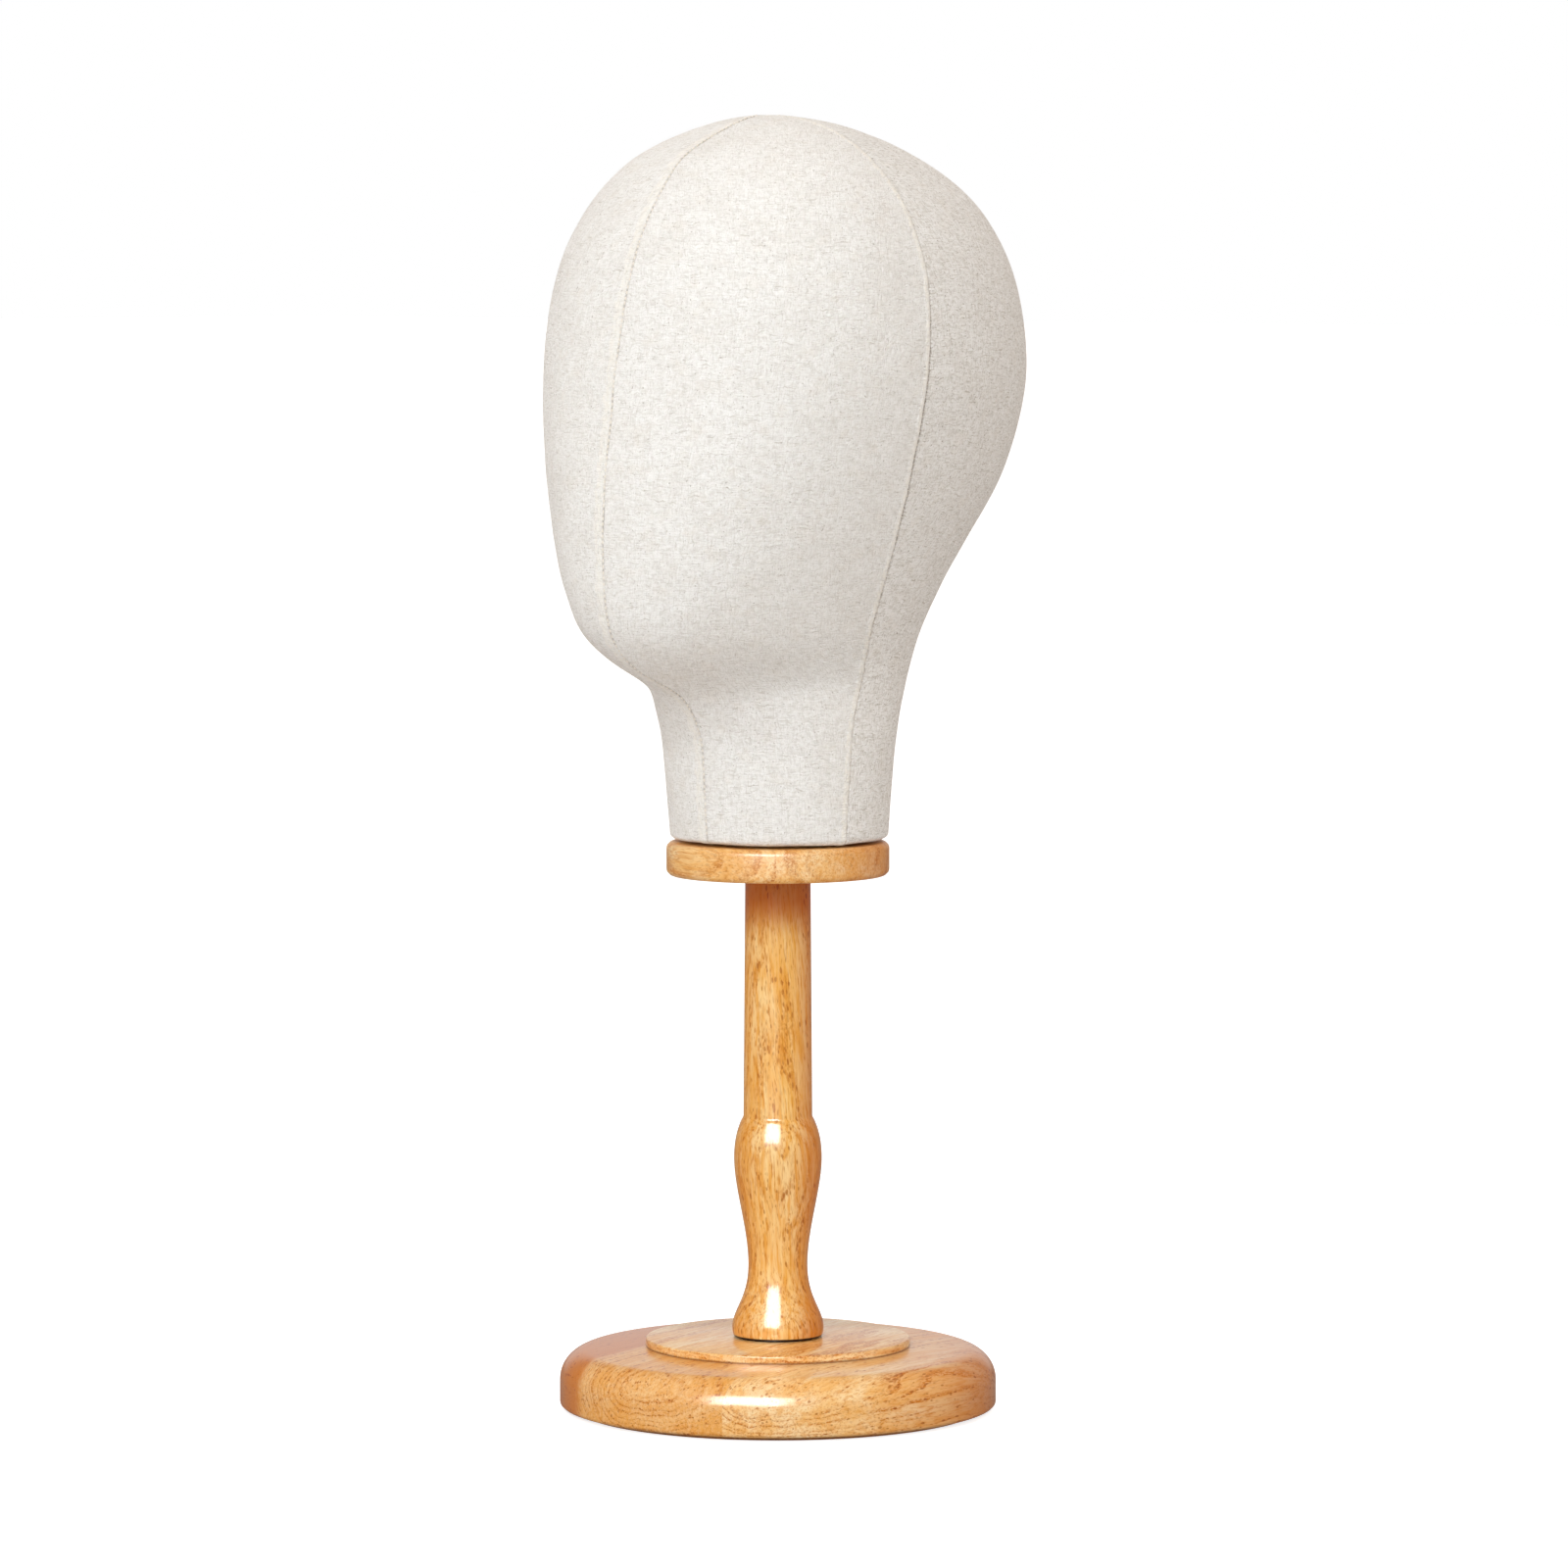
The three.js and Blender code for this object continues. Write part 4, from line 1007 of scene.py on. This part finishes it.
grain_of_base = lacquered_wood(
    "lacquered base wood",
    turn=(0.0, 0.0, math.radians(87)),
    boards=(74.0, 0.554),
    heart=(0.5, 18.5, -0.33),
    rings=(2.1, 0.85, 0.3),
    figure=(0.5, 0.95, 0.8, 0.0),
    tones=HONEY,
    seed=3.0,
    gloss_blur=0.2,
    stain_and_shade_zones=[
        # Painted shade on the base's side seen at the picture's right
        (PICTURE_RIGHT, 22.0, 60.0, 0.3, 0.5, ORANGE_TONE_AND_SHADE),
        (ACROSS_BOARDS, 33.0, 40.7, 0.8, 0.1, ORANGE_TONE_AND_SHADE),
        (ACROSS_BOARDS, 40.7, 41.3, 0.5, 0.0, ROSY),
        # Deeper painted shade towards the base's rim at the picture's right
        (PICTURE_RIGHT, 54.0, 82.0, 0.6, 0.5, REDDISH_SHADE),
    ],
)
grain_of_riser = lacquered_wood(
    "lacquered riser wood",
    turn=(0.0, 0.0, math.radians(80)),
    boards=(46.0, 0.62),
    heart=(0.4, -6.0, 0.0),
    rings=(2.6, 0.6, 0.6),
    figure=(0.6, 0.95, 0.5, 0.0),
    tones=HONEY,
    seed=11.0,
    gloss_blur=0.17,
    # Painted shade at the foot of the riser's edge
    stain_and_shade_zones=[(DOWN, -25.0, -24.2, 0.8, 0.08, RISER_FOOT_SHADE)],
)
grain_of_pole = lacquered_wood(
    "lacquered pole wood",
    turn=(0.0, math.radians(90), 0.0),
    boards=(400.0, 0.5),
    heart=(0.56, 12.0, 0.0),
    rings=(3.2, 1.0, 1.0),
    figure=(0.72, 0.6, 0.7, 0.09),
    tones=AMBER,
    seed=21.0,
    gloss_blur=0.16,
    stain_and_shade_zones=[
        # Painted shade on the pole's edges seen at the picture's right and left
        (PICTURE_RIGHT, 4.0, 14.0, 0.65, 0.1, ORANGE_TONE_AND_SHADE),
        (PICTURE_LEFT, 5.0, 14.0, 0.28, 0.1, ORANGE_TONE_AND_SHADE),
        # Painted shadow and dark reflection of the disc on the pole's top
        (UP, 177.0, 194.0, 0.85, 0.8, DISC_SHADOW_BROWN),
        # Painted shade in the gap under the pole's foot
        (DOWN, -28.5, -28.1, 1.0, 0.0, CREVICE_SHADE),
    ],
)
grain_of_disc = lacquered_wood(
    "lacquered disc wood",
    turn=(0.0, 0.0, math.radians(15)),
    boards=(60.0, 0.4),
    heart=(0.4, 211.0, 0.0),
    rings=(4.4, 0.6, 0.6),
    figure=(0.6, 1.0, 0.3, 0.0),
    tones=HONEY,
    seed=31.0,
    gloss_blur=0.36,
    # Painted shade on the disc's side seen at the picture's right
    stain_and_shade_zones=[(PICTURE_RIGHT, 8.0, 40.0, 0.45, 0.4, ORANGE_TONE_AND_SHADE)],
)

WOODS = {"base_plate": grain_of_base, "base_riser": grain_of_riser, "pole": grain_of_pole}
for node_name, wood in WOODS.items():
    turned_piece(node_name, wood, "stand")
disc = turned_piece("neck_disc", grain_of_disc, "head")
cut_screw_holes(disc)

felt = speckled("pressed felt", (214, 150, 92), (196, 132, 76), 900.0, 0.95, 0.4 * MM)
foam = speckled("firm foam", (238, 232, 218), (222, 214, 198), 500.0, 0.9, 0.3 * MM)
bare_wood = speckled("bare wood", (222, 192, 150), (204, 170, 124), 260.0, 0.7, 0.05 * MM)
steel = speckled("zinc-plated steel", (198, 199, 200), (176, 178, 180), 700.0, 0.3, 0.02 * MM, 1.0)
brass = speckled("turned brass", (212, 178, 102), (190, 152, 80), 700.0, 0.3, 0.02 * MM, 1.0)
turned_piece("base_felt", felt, "stand")

STEEL_NODES = ("base_washer", "base_bolt", "hanger_bolt", "disc_screw_1", "disc_screw_2", "disc_screw_3")
NODE_MATERIALS = {
    "neck_plug": bare_wood,
    **dict.fromkeys(STEEL_NODES, steel),
    **dict.fromkeys(("pole_insert", "neck_insert"), brass),
}
for node_name, finish in NODE_MATERIALS.items():
    node_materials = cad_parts[node_name].data.materials
    node_materials.clear()
    node_materials.append(finish)

head_rows = meridian_rows(ROW_STEP)
head_filling(head_rows, foam)
for number in range(4):
    cloth_material = linen(f"linen {number + 1}", seed=37.0 * number + 5.0, thread_strength_and_shade=THREAD_STRENGTH_AND_SHADE[number])
    cloth_panel(number, head_rows, cloth_material)
pale_thread = spun_thread("pale thread", (247, 240, 230), (226, 216, 202))
beige_thread = spun_thread("beige thread", (249, 244, 235), (230, 221, 206))
for number, seam_name in enumerate(SEAM_NAMES):
    thread = pale_thread if SEAM_KINDS[number] is BUTTED else beige_thread
    seam_stitches("stitches_" + seam_name, head_rows, number, thread)


# Stage, light and camera

def softbox(name, azimuth, elevation, distance, size, power):
    """A softbox round the object. Azimuth is that of a camera in its place, in degrees."""
    turn, rise = math.radians(azimuth), math.radians(elevation)
    way = Vector((math.sin(turn) * math.cos(rise), -math.cos(turn) * math.cos(rise), math.sin(rise)))
    data = bpy.data.lights.new(name, "AREA")
    data.shape = "RECTANGLE"
    data.size, data.size_y = size
    data.energy = power
    lamp = new_object(name, data)
    lamp.location = LAMPS_AIM + way * distance
    lamp.rotation_euler = (-way).to_track_quat("-Z", "Y").to_euler()
    return lamp


def stage_nodes(owner):
    """A cleared node tree, (rays that show it to the camera, also through glass) and the glossy ones."""
    owner.use_nodes = True
    tree = owner.node_tree
    tree.nodes.clear()
    path = add(tree, "LightPath").outputs
    seen = calc(tree, "MAXIMUM", path["Is Camera Ray"], path["Is Transmission Ray"])
    return tree, seen, path["Is Glossy Ray"]


def white_floor():
    """A pale floor that the camera sees as white, apart from the object's soft shadow."""
    material = bpy.data.materials.new("pale floor")
    tree, seen, glossy = stage_nodes(material)
    shade = mix(tree, glossy, FLOOR_TONE, FLOOR_TONE_IN_GLOSS)
    plain = add(tree, "BsdfDiffuse", {"Color": shade})
    mirrored = times(tree, glossy, FLOOR_IN_GLOSS)
    level = calc(tree, "MULTIPLY_ADD", seen, FLOOR_TO_CAMERA, mirrored)
    glow = add(tree, "Emission", {"Color": WHITE, "Strength": level})
    both = add(tree, "AddShader", {0: plain.outputs[0], 1: glow.outputs[0]})
    add(tree, "OutputMaterial", {"Surface": both.outputs[0]})
    mesh = bpy.data.meshes.new("floor")
    corners = [(x * FLOOR_REACH, y * FLOOR_REACH, 0) for x, y in ((-1, -1), (1, -1), (1, 1), (-1, 1))]
    mesh.from_pydata(corners, [], [(0, 1, 2, 3)])
    mesh.materials.append(material)
    floor = new_object("floor", mesh)


def white_world():
    """White for the camera and softer as light. Reflections show a white backdrop in a darker room."""
    world = bpy.data.worlds.new("studio")
    tree, seen, glossy = stage_nodes(world)
    level = remap(tree, seen, 0.0, 1.0, WORLD_ON_OBJECT, 1.0, smooth=False)
    way = add(tree, "TexCoord").outputs["Generated"]
    facing = add(tree, "VectorMath", {0: way, 1: BACKDROP_WAY}, operation="DOT_PRODUCT").outputs["Value"]
    mirrored = remap(tree, facing, *BACKDROP_EDGE, ROOM_IN_GLOSS, BACKDROP_IN_GLOSS)
    level = add(tree, "MapRange", {"Value": glossy, "To Min": level, "To Max": mirrored}).outputs["Result"]
    tone = mix(tree, calc(tree, "MAXIMUM", seen, glossy), WORLD_WARMTH, WHITE)
    glow = add(tree, "Background", {"Color": tone, "Strength": level})
    add(tree, "OutputWorld", {"Surface": glow.outputs[0]})
    bpy.context.scene.world = world


def photo_camera():
    data = bpy.data.cameras.new("camera")
    data.sensor_width = CAMERA_SENSOR_MM
    data.lens = CAMERA_LENS_MM
    data.shift_x = CAMERA_SHIFT
    data.clip_end = CAMERA_REACH
    camera = new_object("camera", data)
    camera.location = (
        CAMERA_DISTANCE * math.sin(CAMERA_AZIMUTH),
        -CAMERA_DISTANCE * math.cos(CAMERA_AZIMUTH),
        CAMERA_HEIGHT,
    )
    camera.rotation_euler = (math.pi / 2 - CAMERA_PITCH, 0.0, CAMERA_AZIMUTH)
    bpy.context.scene.camera = camera


white_floor()
white_world()
lamps = {name: softbox(name, *measures) for name, measures in SOFTBOXES.items()}
lamps["glint"].visible_diffuse = False
for name in ("key", "key_wide"):
    lamps[name].data.color = COOL
photo_camera()
bpy.context.scene.view_settings.view_transform = "Standard"
